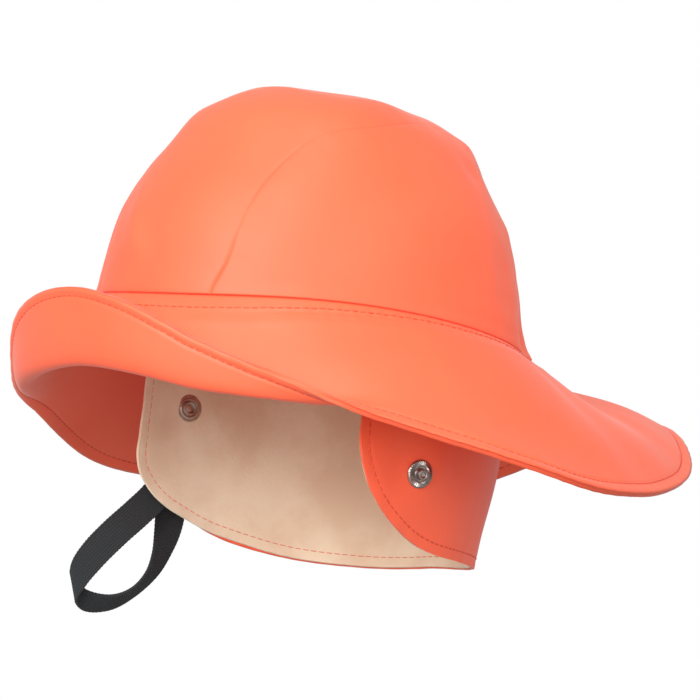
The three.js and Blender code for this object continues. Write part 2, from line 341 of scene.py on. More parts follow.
half_size = (block_box[1] - block_box[0]) / 2
crown_height = block_box[1][2]
middle = (block_box[1] + block_box[0]) / 2
crown = new_piece(
    "crown_shell", bpy.ops.mesh.primitive_uv_sphere_add,
    segments=CROWN_SEGMENTS, ring_count=CROWN_RINGS, radius=1, location=(0, middle[1], 0),
    scale=(half_size[0] * CAGE_LOOSE, half_size[1] * CAGE_LOOSE, crown_height * CAGE_LOOSE))
bpy.ops.object.transform_apply()
mesh = edit(crown)
top_limit = crown_height * CAGE_LOOSE * math.sin(math.radians(POLE_LATITUDE))
pick(crown, [f for f in mesh.faces
             if f.calc_center_median().z < 0 or f.calc_center_median().z > top_limit])
bpy.ops.mesh.delete(type="FACE")
bpy.ops.mesh.select_mode(type="EDGE")
rim_height = max(v.co.z for v in mesh.verts)
for edge in mesh.edges:
    edge.select_set(edge.is_boundary and min(v.co.z for v in edge.verts) > rim_height - RIM_SLACK)
bmesh.update_edit_mesh(crown.data)
bpy.ops.mesh.fill_grid(span=CROWN_SEGMENTS // 4)
leave(crown)
points = get_points(crown)
share = np.clip(1 - points[:, 2] / crown_height, 0, 1) ** 2
points[:, 2] -= SEAM_WAVE * np.cos(2 * np.radians(turn_of(points))) * share
points[:, 2] += CROWN_FOOT * share
set_points(crown, points)
apply(crown, "SHRINKWRAP", target=block, wrap_method="NEAREST_SURFACEPOINT")
apply(crown, "SUBSURF", levels=2)
print("crown shell", len(crown.data.polygons), "faces")

# %% [markdown]
# ## Cutting the panels
# The two lengthwise seams lie 41 mm either side of the middle, but further apart over the front of
# the top, and they draw in a little at the foot. So the shell is squeezed for a moment until both run
# straight. Then plain parallel cuts give the cloth enough rows to dip into each seam, the panels get
# their marks, and the squeeze is undone.

# %% Where the crown seams run
STRIP_HALF = 41.5 * MM
STRIP_WIDER = 13 * MM
STRIP_WIDEST_AT = -27 * MM
STRIP_SPREAD = 35 * MM
STRIP_TUCK = 4 * MM
STRIP_TUCK_HEIGHT = 9 * MM
SEAM_ROWS = [0.35, 0.9, 1.8, 3.6]  # mm either side of each seam
CUT_MERGE = 0.12 * MM  # a cut that passes a vertex more closely than this goes through it


def strip_half(points):
    """Half the width of the centre strip at each point."""
    wider = STRIP_WIDER * bell(points[:, 1] - STRIP_WIDEST_AT, STRIP_SPREAD)
    return STRIP_HALF + wider - STRIP_TUCK * bell(np.maximum(points[:, 2], 0), STRIP_TUCK_HEIGHT)


points = get_points(crown)
points[:, 0] *= STRIP_HALF / strip_half(points)
set_points(crown, points)
edit(crown)
for side in (-1, 1):
    for row in [0, *SEAM_ROWS, *[-r for r in SEAM_ROWS]]:
        bpy.ops.mesh.select_all(action="SELECT")
        bpy.ops.mesh.bisect(plane_co=(side * STRIP_HALF + row * MM, 0, 0), plane_no=(1, 0, 0))
bpy.ops.mesh.select_all(action="SELECT")
bpy.ops.mesh.remove_doubles(threshold=CUT_MERGE)
leave(crown)
for name in ("crown_center_strip", "crown_side_left", "crown_side_right"):
    crown.data.materials.append(bpy.data.materials.new("cut_" + name))
for face in crown.data.polygons:
    face.material_index = 0 if abs(face.center.x) < STRIP_HALF else (1 if face.center.x > 0 else 2)
points = get_points(crown)
points[:, 0] *= strip_half(points) / STRIP_HALF
set_points(crown, points)
print("crown cut into", len({face.material_index for face in crown.data.polygons}), "panels")

# %% [markdown]
# Sewn coated cloth puckers along its thread, so the dip along each seam comes with small uneven
# puckers. They could be a bump in the finish, but they catch the light at the outline too, so the
# mesh itself is pushed in and out.

# %% Puckers along the crown seams
SEAM_DIP = 0.8 * MM
SEAM_DIP_WIDTH = 0.45 * MM
SEAM_ROLL = 0.2 * MM
SEAM_ROLL_WIDTH = 2.6 * MM
SEAM_PER_DEGREE = 1.65 * MM  # a seam's length for each degree that it climbs
SEAM_TIGHT_SIZE = 26 * MM  # how long the tight and the loose stretches of a seam are
SEAM_FADE = 180 * MM  # the dip gets weaker over this height
PUCKER = 0.2 * MM
PUCKER_LENGTH = 13 * MM
PUCKER_REACH = 6 * MM
PUCKER_WANDER = 2.2  # radians by which their spacing wanders
PUCKER_WANDER_SIZE = 30 * MM
PUCKER_PATCH_SIZE = 18 * MM
PUCKER_STEADY, PUCKER_VARIES = 0.6, 0.4  # shares of a pucker that stay, and that come and go
TIGHT, TIGHT_VARIES, TIGHT_LEAST = 0.8, 0.5, 0.1  # how hard the thread draws the seam in

points, normals = get_points(crown), get_normals(crown)
to_seam = np.abs(np.abs(points[:, 0]) - strip_half(points))
along_seam = np.degrees(np.arctan2(points[:, 2], -points[:, 1])) * SEAM_PER_DEGREE
phase = waves(points, PUCKER_WANDER_SIZE, seed=3) * PUCKER_WANDER
ripple = ripples(along_seam, PUCKER_LENGTH, phase + np.sign(points[:, 0]))
ripple *= PUCKER_STEADY + PUCKER_VARIES * waves(points, PUCKER_PATCH_SIZE, seed=4)
tight = TIGHT + TIGHT_VARIES * waves(points, SEAM_TIGHT_SIZE, seed=6) - points[:, 2] / SEAM_FADE
push = -SEAM_DIP * bell(to_seam, SEAM_DIP_WIDTH) - SEAM_ROLL * bell(to_seam, SEAM_ROLL_WIDTH)
push *= np.clip(tight, TIGHT_LEAST, 1)
push += PUCKER * ripple * np.exp(-to_seam / PUCKER_REACH)
print(f"seams pushed from {push.min() / MM:.2f} to {push.max() / MM:.2f} mm")

# %% [markdown]
# Then come the soft dents and folds of a hat that has been worn. A brush in sculpt mode would do it
# by eye. Here each fold and dimple has a row of its own, so that it can be moved or made weaker.

# %% Folds, dimples and the low front of the crown
FOOT_DIP = 0.4 * MM  # a soft hollow just above the foot, strongest at the sides
FOOT_DIP_AT = 5 * MM
FOOT_DIP_WIDTH = 2.4 * MM
SLACK = 0.55 * MM
SLACK_SIZE = 34 * MM
SLACK_FROM = 20 * MM  # below this height the seam holds the cloth
# Soft folds in the crown: the direction that each lies in, how that leans with height, how wide it
# is, from which height to which it runs, and how far it stands out.
FOLDS = [
    dict(turn=-7, lean=-0.35, width=3.6, low=8, high=46, rise=0.8),
    dict(turn=-1, lean=-0.3, width=4.5, low=8, high=40, rise=-0.5),
    dict(turn=-15, lean=-0.3, width=4.5, low=14, high=48, rise=-0.5),
    dict(turn=38, lean=0.1, width=9, low=6, high=34, rise=0.5),
    dict(turn=118, lean=0, width=6, low=12, high=46, rise=-0.8),
    dict(turn=-96, lean=0, width=7, low=10, high=52, rise=0.8),
    dict(turn=160, lean=0, width=8, low=8, high=40, rise=-0.7),
    dict(turn=136, lean=0, width=20, low=2, high=34, rise=0.8),
]
FOLD_MIDDLE = 25  # mm: the height at which a leaning fold lies in its own direction
FOLD_GROWS, FOLD_FADES = 8, 10  # mm of height in which it grows, and in which it fades
# Small dimples and bumps: where each lies (mm), how wide it is and how far it stands out.
DIMPLES = [
    dict(at=(45.5, -88, 13), width=3.4, rise=-0.8),
    dict(at=(59, 27, 75), width=6.5, rise=-1.0),
    dict(at=(-2, -57, 94), width=8, rise=0.5),
    dict(at=(-26, -62, 86), width=8, rise=0.2),
    dict(at=(-18, -60, 91), width=5, rise=-1.1),
    dict(at=(-34, -69, 71), width=11, rise=-1.0),
    dict(at=(-48, -84, 24), width=8, rise=-2.2),
    dict(at=(23, -27, 101), width=13, rise=-2.6),
    dict(at=(35, 8, 100), width=14, rise=-1.3),
    dict(at=(41, 39, 89), width=7, rise=1.1),
    dict(at=(48, 48, 74), width=10, rise=-1.0),
    dict(at=(56, 55, 54), width=7, rise=1.0),
    dict(at=(57, 62, 42), width=8, rise=0.5),
    dict(at=(62, 68, 12), width=11, rise=-3.0),
    dict(at=(60, 79, 1), width=6, rise=2.0),
    dict(at=(61, 70, 8), width=6, rise=-1.2),
    dict(at=(41, -8, 96), width=16, rise=-0.5),
]
FRONT_DROP = 1.9 * MM  # in front the cloth on both sides of the seam hangs this much lower
FRONT_DROP_REACH = 14 * MM
FRONT_DROP_AT, FRONT_DROP_SPREAD = 14, 30  # degrees


def front_drop(points):
    """How much lower the cloth near the crown's foot hangs in front."""
    ring = np.hypot(points[:, 0] / half_size[0], points[:, 1] / half_size[1])
    away = np.hypot(points[:, 2], (ring - 1) * half_size[1])
    return FRONT_DROP * bell(turn_of(points) - FRONT_DROP_AT, FRONT_DROP_SPREAD) * bell(
        away, FRONT_DROP_REACH)


turns = np.radians(turn_of(points))
foot = points[:, 2] + SEAM_WAVE * np.cos(2 * turns)
push -= FOOT_DIP * bell(foot - FOOT_DIP_AT, FOOT_DIP_WIDTH) * np.abs(np.sin(turns))
push += SLACK * waves(points, SLACK_SIZE, seed=5) * np.clip(points[:, 2] / SLACK_FROM, 0, 1)
height = points[:, 2] / MM
for fold in FOLDS:
    off = turned_from(points, fold["turn"] + fold["lean"] * (height - FOLD_MIDDLE))
    grown = np.clip((height - fold["low"]) / FOLD_GROWS, 0, 1)
    left = np.clip((fold["high"] - height) / FOLD_FADES, 0, 1)
    push += fold["rise"] * MM * bell(off, fold["width"]) * grown * left
for dimple in DIMPLES:
    away = np.linalg.norm(points - np.array(dimple["at"]) * MM, axis=1)
    push += dimple["rise"] * MM * bell(away, dimple["width"] * MM)
points += normals * push[:, None]
points[:, 2] -= front_drop(points)
set_points(crown, points)
print(f"crown pushed from {push.min() / MM:.2f} to {push.max() / MM:.2f} mm")

# %% [markdown]
# The crown's foot is turned in where it meets the brim. As by hand, its open edge is extruded three
# times, a little down and ever further in, so that a rounded lip of cloth is pressed on the brim.
# Then the shell comes apart into its three panels. A Solidify modifier gives each its thickness.

# %% Rolled foot and separate panels
CROWN_CLOTH = 1.5 * MM
CROWN_SMOOTH = 50  # degrees
SEAM_LAP = 0.05 * MM  # the panels press this far into each other along a seam
ON_SEAM = 1.5 * MM  # an open edge's vertex this near to a seam belongs to it
LIP_STEPS = [(0.5, 0.9985), (0.45, 0.986), (0.5, 0.962)]  # mm down, and the size of the next ring


def smooth(obj, angle):
    """Smooth shading, but sharp where faces meet at more than an angle in degrees."""
    only(obj)
    bpy.ops.object.shade_smooth_by_angle(angle=math.radians(angle))
    return obj


edit(crown, "EDGE")
bpy.ops.mesh.select_all(action="SELECT")
bpy.ops.mesh.region_to_loop()
for down, size in LIP_STEPS:
    bpy.ops.mesh.extrude_edges_move(TRANSFORM_OT_translate={"value": (0, 0, -down * MM)})
    bpy.ops.transform.resize(value=(size, size, 1), center_override=(0, 0, 0))
bpy.ops.mesh.select_all(action="SELECT")
bpy.ops.mesh.separate(type="MATERIAL")
leave(crown)
crown_pieces = {}
for panel in list(bpy.context.selected_objects):
    x = get_points(panel)[:, 0].mean()
    key = "center_strip" if abs(x) < STRIP_HALF / 2 else ("side_left" if x > 0 else "side_right")
    panel.name = panel.data.name = "crown_" + key + "_cloth"
    panel.data.materials.clear()
    crown_pieces[key] = panel
    points = get_points(panel)
    inwards = np.sign(x - points[:, 0]) if key != "center_strip" else -np.sign(points[:, 0])
    off_seam = np.abs(np.abs(points[:, 0]) - strip_half(points))
    on_seam = [k for loop in open_edges(panel) for k in loop if off_seam[k] < ON_SEAM]
    points[on_seam, 0] -= inwards[on_seam] * SEAM_LAP
    set_points(panel, points)
    apply(panel, "SOLIDIFY", thickness=CROWN_CLOTH, offset=-1, use_even_offset=False)
    tilted(smooth(panel, CROWN_SMOOTH))
    print(panel.name, len(panel.data.polygons), "faces")
bpy.data.objects.remove(block)

# %% [markdown]
# ## The brim
# The brim is two plies of the same cloth, sewn round the edge. In front it is turned up into a
# trough and behind it runs out long. It could be extruded ring by ring from the seam, but the solid
# already has that shape, so its upper side is kept as a coarse cage and subdivided. The bands by the
# seam and by the edge get more rows, because that is where the stitching pulls the cloth in.

# %% Brim sheet
BRIM_CLOTH = 2.3 * MM
EDGE_BAND = 11 * MM
SEAM_BAND = 11 * MM
ALLOWANCE = 2.7 * MM  # cloth between the inner edge and the seam
BRIM_TOP = Vector((0, -118 * MM, -22 * MM))  # on the upper side, in front of the crown


def brim_edges():
    """The brim's two open edges: the inner one, by the seam, and the outer one."""
    points = get_points(brim)
    return sorted(open_edges(brim), key=lambda loop: np.ptp(points[loop][:, 1]))


brim = keep_side(upright_copy("brim_cloth", "brim"), BRIM_TOP)
apply(brim, "SUBSURF", levels=2)
inner, outer = [get_points(brim)[loop] for loop in brim_edges()]
mesh = edit(brim)
centers = np.array([f.calc_center_median() for f in mesh.faces])
near_edge = distances(centers, outer)[0] < EDGE_BAND
near_seam = distances(centers, inner)[0] < SEAM_BAND
pick(brim, [f for f, wanted in zip(list(mesh.faces), near_edge | near_seam) if wanted])
bpy.ops.mesh.subdivide(number_cuts=1)
leave(brim)
print("brim sheet", len(brim.data.polygons), "faces")

# %% [markdown]
# A worn brim isn't regular: its edge is lifted here and hangs there. Proportional editing would drag
# it so in the window. Two small tables say the same, by direction round the head.

# %% The line of the brim's edge and fold
# How much the brim's edge is lifted, by direction (degrees from the front, and mm).
EDGE_LIFT = [(-14, 0), (2, -0.8), (8, -1.7), (14, -2.2), (20, -3.0), (26, -2.6), (31, -0.4), (36, 1.6),
             (42, 2.8), (48, 3.0), (55, 2.6), (62, 2.2), (76, 2.4), (84, 2.9), (92, 2.0), (100, 1.0),
             (108, 0.5), (130, 0)]
EDGE_LIFT_REACH = 20 * MM
EDGE_LIFT_SHORT = 11 * MM  # where the trough runs out it reaches less far, so that the fold stays low
TROUGH_END, TROUGH_END_WIDTH = 46, 16  # degrees
# The fold at the bottom of the trough hangs lower there: in which direction and how far from the edge.
FOLD_DROPS = [
    dict(turn=42, width=16, inset=22, reach=12, drop=2.6),
    dict(turn=51, width=11, inset=13, reach=8, drop=5.0),
]
SEAM_CROWDING = 0.7 * MM  # by the seam the brim's cloth is pressed up against the crown
SEAM_CROWDING_AT = 0.5 * MM
SEAM_CROWDING_WIDTH = 1.7 * MM

points = get_points(brim)
to_edge, along_edge = distances(points, outer)
to_inner, along_inner = distances(points, inner)
from_seam = to_inner - ALLOWANCE
turns = turn_of(points)
directions, lifts = zip(*EDGE_LIFT)
short = bell(turns - TROUGH_END, TROUGH_END_WIDTH)
lift_reach = EDGE_LIFT_REACH + (EDGE_LIFT_SHORT - EDGE_LIFT_REACH) * short
points[:, 2] += np.interp(turns, directions, lifts) * MM * bell(to_edge, lift_reach)
for row in FOLD_DROPS:
    near = bell(turns - row["turn"], row["width"])
    points[:, 2] -= row["drop"] * MM * near * bell(to_edge - row["inset"] * MM, row["reach"] * MM)
points[:, 2] -= front_drop(points)
points[:, 2] += SEAM_CROWDING * bell(from_seam - SEAM_CROWDING_AT, SEAM_CROWDING_WIDTH)
set_points(brim, points)
print(f"edge lifted by {min(lifts)} to {max(lifts)} mm")

# %% [markdown]
# The topstitching draws the cloth into a channel, the end of the seam allowance shows as a soft
# step, and the sewn edge ripples. All of them are pushes along the normals, as on the crown.

# %% Brim channels, ripples and folds
EDGE_STITCH = 3.4 * MM
EDGE_STITCH_BEHIND = 1.9 * MM  # from the sides on it runs this much further in
SIDES_FROM, SIDES_IN = 45, 20  # degrees: where the sides begin, and in how many they take over
TOP_STITCH = 4.3 * MM
TOP_STITCH_IN_FRONT = 4.6 * MM  # in front it runs this much further out
TOP_STITCH_TURN, TOP_STITCH_SPREAD = 10, 42  # degrees
CHANNEL = 0.32 * MM
CHANNEL_WIDTH = 0.9 * MM
CHANNEL_RIPPLE = 0.12 * MM
CHANNEL_RIPPLE_LENGTH = 8 * MM
RIPPLE_REACH = 4 * MM
RIDGE_BEYOND = 5.5 * MM  # the end of the seam allowance lies this far past the stitches
RIDGE = 0.35 * MM
RIDGE_WIDTH = 1.6 * MM
EDGE_RIPPLE = 0.09 * MM
EDGE_RIPPLE_LENGTH = 12 * MM
RIPPLE_WANDER = 2.4  # radians by which their spacing wanders
RIPPLE_WANDER_SIZE = 26 * MM
BRIM_SLACK = 0.7 * MM
BRIM_SLACK_SIZE = 46 * MM
BRIM_SLACK_FROM = 18 * MM  # nearer to the seam than this the cloth is held
# Soft folds that run down the brim: the direction that each lies in, its width and its rise.
BRIM_FOLDS = [
    dict(turn=128, width=5, rise=-0.8),
    dict(turn=140, width=6, rise=0.9),
    dict(turn=152, width=5, rise=-0.6),
    dict(turn=-142, width=7, rise=0.8),
    dict(turn=-160, width=6, rise=-0.7),
    dict(turn=84, width=8, rise=0.5),
]
BRIM_FOLDS_FROM = 14 * MM  # they grow over this distance from the seam
BRIM_FOLDS_TO = 12 * MM  # and fade over this one to the edge


def edge_stitch(points):
    """How far the edge's stitching runs from the edge."""
    at_sides = np.clip((np.abs(turn_of(points)) - SIDES_FROM) / SIDES_IN, 0, 1)
    return EDGE_STITCH + EDGE_STITCH_BEHIND * at_sides


def top_stitch(points):
    """How far the topstitching runs from the seam."""
    return TOP_STITCH + TOP_STITCH_IN_FRONT * bell(turn_of(points) - TOP_STITCH_TURN, TOP_STITCH_SPREAD)


points, normals = get_points(brim), get_normals(brim)
past_stitch = from_seam - top_stitch(points)
wander = waves(points, RIPPLE_WANDER_SIZE, seed=11) * RIPPLE_WANDER
push = EDGE_RIPPLE * ripples(along_edge, EDGE_RIPPLE_LENGTH, wander) * np.exp(-to_edge / RIPPLE_REACH)
push += BRIM_SLACK * waves(points, BRIM_SLACK_SIZE, seed=12) * np.clip(from_seam / BRIM_SLACK_FROM, 0, 1)
push -= CHANNEL * bell(past_stitch, CHANNEL_WIDTH)
push += RIDGE * bell(past_stitch - RIDGE_BEYOND, RIDGE_WIDTH)
ripple = ripples(along_inner, CHANNEL_RIPPLE_LENGTH, wander)
push += CHANNEL_RIPPLE * ripple * bell(past_stitch, RIPPLE_REACH)
free = np.clip(from_seam / BRIM_FOLDS_FROM, 0, 1) * np.clip(to_edge / BRIM_FOLDS_TO, 0, 1)
for fold in BRIM_FOLDS:
    push += fold["rise"] * MM * bell(turned_from(points, fold["turn"]), fold["width"]) * free
set_points(brim, points + normals * push[:, None])
print(f"brim pushed from {push.min() / MM:.2f} to {push.max() / MM:.2f} mm")

# %% [markdown]
# ## Rows of stitches
# Each row of thread follows an edge at a set distance. One could draw the line by hand on the
# surface. It is more even to walk from the edge into the sheet in small steps, each time dropping
# back on the cloth, and to find the finished surface by a ray once the cloth has its thickness.

# %% Lines on a sheet
INSET_STEPS = 6
RAY_START = 2 * MM  # a ray starts this far off the cloth


def surface_of(obj):
    """A tree that finds the nearest or the first place on a piece's surface."""
    points = [Vector(p) for p in get_points(obj)]
    return BVHTree.FromPolygons(points, [f.vertices[:] for f in obj.data.polygons])


def inwards_from(obj, loop):
    """At each vertex of an open edge, the way that runs into the sheet."""
    edge = get_points(obj)[loop]
    along = np.roll(edge, -2, axis=0) - np.roll(edge, 2, axis=0)
    inwards = np.cross(get_normals(obj)[loop], along)
    return inwards / np.linalg.norm(inwards, axis=1)[:, None]


def inset_line(obj, loop, inset):
    """A line on the sheet, walked inwards from one of its open edges, and the normals there."""
    surface = surface_of(obj)
    line, way = get_points(obj)[loop], inwards_from(obj, loop)
    for _ in range(INSET_STEPS):
        found = [surface.find_nearest(Vector(p)) for p in line + way * inset / INSET_STEPS]
        way = np.array([f[0] for f in found]) - line
        way /= np.linalg.norm(way, axis=1)[:, None]
        line = np.array([f[0] for f in found])
    return line, np.array([f[1] for f in found])


def landed(obj, line, normals, depth, above):
    """The line dropped on a finished piece from above its surface, or raised on it from below."""
    surface = surface_of(obj)
    out = []
    for point, normal in zip(line, normals):
        start = Vector(point + normal * (RAY_START if above else -depth - RAY_START))
        way = Vector(-normal if above else normal)
        hit = surface.ray_cast(start, way, depth + 2 * RAY_START)[0]
        out.append(hit if hit else Vector(point - normal * (0 if above else depth)))
    return np.array(out)


def smoothed(line, rounds, closed=True):
    for _ in range(rounds):
        ahead, behind = np.roll(line, -1, axis=0), np.roll(line, 1, axis=0)
        mean = line * 0.5 + (ahead + behind) * 0.25
        if not closed:
            mean[0], mean[-1] = line[0], line[-1]
        line = mean
    return line


def path_length(line, closed=True):
    ends = np.roll(line, -1, axis=0) if closed else line[1:]
    return float(np.linalg.norm(ends - line[: len(ends)], axis=1).sum())


print(f"the brim's edge is {path_length(outer) / MM:.0f} mm round")

# %% [markdown]
# One stitch is modelled: a short cylinder whose ends are drawn out and made thinner. An Array
# modifier repeats it and a Curve modifier bends the row along its line. Each thread is a real piece,
# because a painted one would lie flat in the channel.

# %% A row of stitches
STITCH_PITCH = 3.6 * MM
STITCH_LENGTH = 2.7 * MM
STITCH_RADIUS = 0.34 * MM
STITCH_SIDES = 6
STITCH_BODY, STITCH_END, STITCH_TIP = 0.6, 0.2, 0.5  # shares of its length, and of its thickness


def stitch_path(name, line, closed):
    """A curve object that runs along the line."""
    curve = bpy.data.curves.new(name + "_path", "CURVE")
    curve.dimensions = "3D"
    spline = curve.splines.new("POLY")
    spline.points.add(len(line) - 1)
    for point, place in zip(spline.points, line):
        point.co = (*place, 1)
    spline.use_cyclic_u = closed
    path = bpy.data.objects.new(name + "_path", curve)
    bpy.context.scene.collection.objects.link(path)
    return path


def stitch_row(name, line, closed=True, radius=STITCH_RADIUS):
    """One stitch is modelled, repeated by an array and bent along the line by a curve."""
    path = stitch_path(name, line, closed)
    length = path_length(line, closed)
    count = max(1, int(length / STITCH_PITCH))
    step = length / count
    row = new_piece(
        name, bpy.ops.mesh.primitive_cylinder_add,
        vertices=STITCH_SIDES, radius=radius, depth=STITCH_BODY * STITCH_LENGTH,
        location=(step / 2, 0, 0), rotation=(0, math.pi / 2, 0))
    bpy.ops.object.transform_apply()
    mesh = edit(row)
    pick(row, [f for f in mesh.faces if abs(f.normal.x) > 0.9])
    bpy.ops.mesh.extrude_region_shrink_fatten(
        TRANSFORM_OT_shrink_fatten={"value": STITCH_END * STITCH_LENGTH})
    bpy.ops.transform.resize(value=(1, STITCH_TIP, STITCH_TIP), center_override=(step / 2, 0, 0))
    leave(row)
    apply(row, "ARRAY", count=count, use_relative_offset=False, use_constant_offset=True,
          constant_offset_displace=(step, 0, 0))
    apply(row, "CURVE", object=path, deform_axis="POS_X")
    bpy.data.objects.remove(path)
    only(row)
    bpy.ops.object.shade_smooth()
    return row


threads = {}
print(f"stitches {STITCH_LENGTH / MM} mm long, one each {STITCH_PITCH / MM} mm")

# %% [markdown]
# The brim gets its thickness. The two plies part a little at the edge, so the rim is inset into a
# groove, and outside the stitches the turned-in cloth makes a welt that is thicker than the rest.

# %% Brim wall, welt and groove
CLOTH_SMOOTH = 60  # degrees
GROOVE = 0.9 * MM
GROOVE_INSET = 0.8 * MM
IN_GROOVE = 0.45 * BRIM_CLOTH  # nearer to the middle of the rim than this is the groove
WELT = 0.4 * MM
WELT_FROM, WELT_TO = 2.1 * MM, 3.7 * MM  # it fades out between these distances from the rim
EDGE_CHANNEL = 0.5 * MM  # the stitches draw both sides in
EDGE_CHANNEL_WIDTH = 0.8 * MM
EDGE_THREAD_EASE, SEAM_THREAD_EASE = 8, 2  # rounds of smoothing for each row of thread

inner_loop, outer_loop = brim_edges()
points, normals = get_points(brim), get_normals(brim)
rim = points[outer_loop] - normals[outer_loop] * BRIM_CLOTH / 2
edge_line = inset_line(brim, outer_loop, edge_stitch(points[outer_loop])[:, None])
seam_line = inset_line(brim, inner_loop, ALLOWANCE + top_stitch(points[inner_loop])[:, None])
for material in ("face", "rim"):
    brim.data.materials.append(bpy.data.materials.new("brim_" + material))
apply(brim, "SOLIDIFY", thickness=BRIM_CLOTH, offset=-1, material_offset_rim=1)
mesh = edit(brim)
pick(brim, [f for f in mesh.faces if f.material_index == 1])
bpy.ops.mesh.inset(thickness=GROOVE_INSET, use_boundary=True)
bpy.ops.transform.shrink_fatten(value=-GROOVE)
leave(brim)
for face in brim.data.polygons:
    face.material_index = 0
brim.data.materials.clear()
points, normals = get_points(brim), get_normals(brim)
to_rim = distances(points, rim)[0]
fade = np.clip((WELT_TO - to_rim) / (WELT_TO - WELT_FROM), 0, 1)
push = WELT * fade * fade * (3 - 2 * fade) * (to_rim > IN_GROOVE)
push -= EDGE_CHANNEL * bell(to_rim - np.hypot(edge_stitch(points), BRIM_CLOTH / 2), EDGE_CHANNEL_WIDTH)
set_points(brim, points + normals * push[:, None])
smooth(brim, CLOTH_SMOOTH)
for side, above in (("top", True), ("under", False)):
    for kind, sewn, ease in (("edge", edge_line, EDGE_THREAD_EASE), ("seam", seam_line, SEAM_THREAD_EASE)):
        name = f"brim_{kind}_thread_{side}"
        threads[name] = stitch_row(name, smoothed(landed(brim, *sewn, BRIM_CLOTH, above), ease))
for piece in (brim, *threads.values()):
    tilted(piece)
print("brim", len(brim.data.polygons), "faces;", len(threads), "rows of stitches")

# %% [markdown]
# ## The flap and its lining
# The flap hangs from the crown seam round the ears and the neck: coated cloth outside and brushed
# flannel inside, sewn together near the edge. A cloth simulation could hang it, but it is nearly
# stiff and its outline is known, so the solids' visible sides are shaped directly. First come the two
# cuts: how far each ply reaches past its solid, and how the cloth is drawn along with its edge.

# %% How the two plies are cut
FLAP_TOP = -7 * MM  # its edge is free below this height
FLAP_TOP_FADE = 6 * MM
# How far each ply is cut past its solid's edge (mm): all round, and more or less in some directions.
# The flannel shows past the cloth on the wearer's right and stays back at the corner below.
CLOTH_CUT = [
    dict(turn=-68, width=12, out=-2.6),
    dict(turn=-93, width=12, out=-1.8),
    dict(turn=97, width=23, out=4.4),
    dict(turn=165, width=25, out=-1.8),
    dict(turn=-135, width=22, out=1.2),
]
FLANNEL_CUT = [
    dict(turn=0, width=1e6, out=0.7),
    dict(turn=-68, width=12, out=-0.6),
    dict(turn=-94, width=8, out=-0.6),
    dict(turn=-114, width=14, out=-0.8),
    dict(turn=68, width=18, out=-0.9),
    dict(turn=97, width=23, out=4.2),
    dict(turn=165, width=25, out=-2.0),
    dict(turn=-135, width=22, out=1.0),
]
CUT_REACH = 16 * MM  # the cloth is drawn along with its edge over this width


def recut(sheet, loop, cut):
    """The sheet's points once its free edge is cut longer or shorter."""
    points = get_points(sheet)
    edge = points[loop]
    free = np.clip((FLAP_TOP - edge[:, 2]) / FLAP_TOP_FADE, 0, 1)
    out = sum(row["out"] * MM * bell(turned_from(edge, row["turn"]), row["width"]) for row in cut)
    move = -inwards_from(sheet, loop) * (out * free)[:, None]
    nearest, away = nearest_of(points, edge)
    return points + move[nearest] * (np.clip(1 - away / CUT_REACH, 0, 1) ** 2)[:, None]


print(len(CLOTH_CUT), "rows for the cloth,", len(FLANNEL_CUT), "for the flannel")

# %% [markdown]
# The snaps pull the cloth under them round towards the front. Their places are read off their solids:
# the thinnest direction of a snap is the way that it faces, and its wider end is the foot.

# %% Where the snaps sit
SNAP_TURN = math.radians(13)  # the cloth under each snap is turned this much towards the front
SNAP_TURN_REACH = 15 * MM


def seat_of(node):
    """Where a snap's solid stands: the middle of its foot and the way that it faces."""
    points = get_points(nodes[node])
    axis = np.linalg.svd(points - points.mean(0), full_matrices=False)[2][2]
    height = (points - points.mean(0)) @ axis
    radius = np.linalg.norm(points - points.mean(0) - height[:, None] * axis, axis=1)
    halfway = (height.min() + height.max()) / 2
    if radius[height > halfway].max() > radius[height < halfway].max():
        axis, height = -axis, -height
    return Vector(points.mean(0) + axis * height.min()), Vector(axis)


def snap_pull(points):
    """The push along X that turns the cloth under each snap towards the front."""
    push = np.zeros(len(points))
    for node in ("snap_stud", "snap_socket"):
        seat = np.array(TILT.inverted() @ seat_of(node)[0])
        away = points - seat
        same_side = points[:, 0] * seat[0] > 0
        near = bell(np.linalg.norm(away, axis=1), SNAP_TURN_REACH) * same_side
        push += math.tan(SNAP_TURN) * away[:, 1] * near
    return push


for node in ("snap_stud", "snap_socket"):
    print(node, "sits at", np.round(np.array(seat_of(node)[0]) / MM, 1), "mm")

# %% [markdown]
# A sheet of cloth keeps its size when it is bent, so each ply is measured along its surface, round
# the head and down to the hem. Those are the width and the height that it was cut to.

# %% Measuring cloth
COLUMN_STEP, COLUMN_HALF = 10, 1.5  # degrees from one column to the next, and half a column's width
ROW_HEIGHTS = np.arange(-70, -10, 5) * MM
ROW_HALF = 2 * MM
ROW_STEP, ROW_REACH = 3, 1.6  # degrees from one place in a row to the next, and how far each reaches


def cloth_height(points):
    """The longest way from the top edge down to the hem."""
    turns, longest = turn_of(points), 0.0
    for turn in range(-170, 180, COLUMN_STEP):
        column = points[np.abs(turns - turn) < COLUMN_HALF]
        if len(column):
            top, bottom = column[column[:, 2].argmax()], column[column[:, 2].argmin()]
            longest = max(longest, float(np.linalg.norm(top - bottom)))
    return longest


def cloth_width(points):
    """The longest way round the head along the cloth."""
    longest = 0.0
    for height in ROW_HEIGHTS:
        row = points[np.abs(points[:, 2] - height) < ROW_HALF]
        if len(row) == 0:
            continue
        turns = turn_of(row) % 360
        steps = np.arange(turns.min() + 0.5, turns.max(), ROW_STEP)
        near = [np.abs(turns - turn) < ROW_REACH for turn in steps]
        line = np.array([row[here].mean(0) for here in near if here.any()])
        longest = max(longest, path_length(line, closed=False))
    return longest


print(len(ROW_HEIGHTS), "rows to measure")

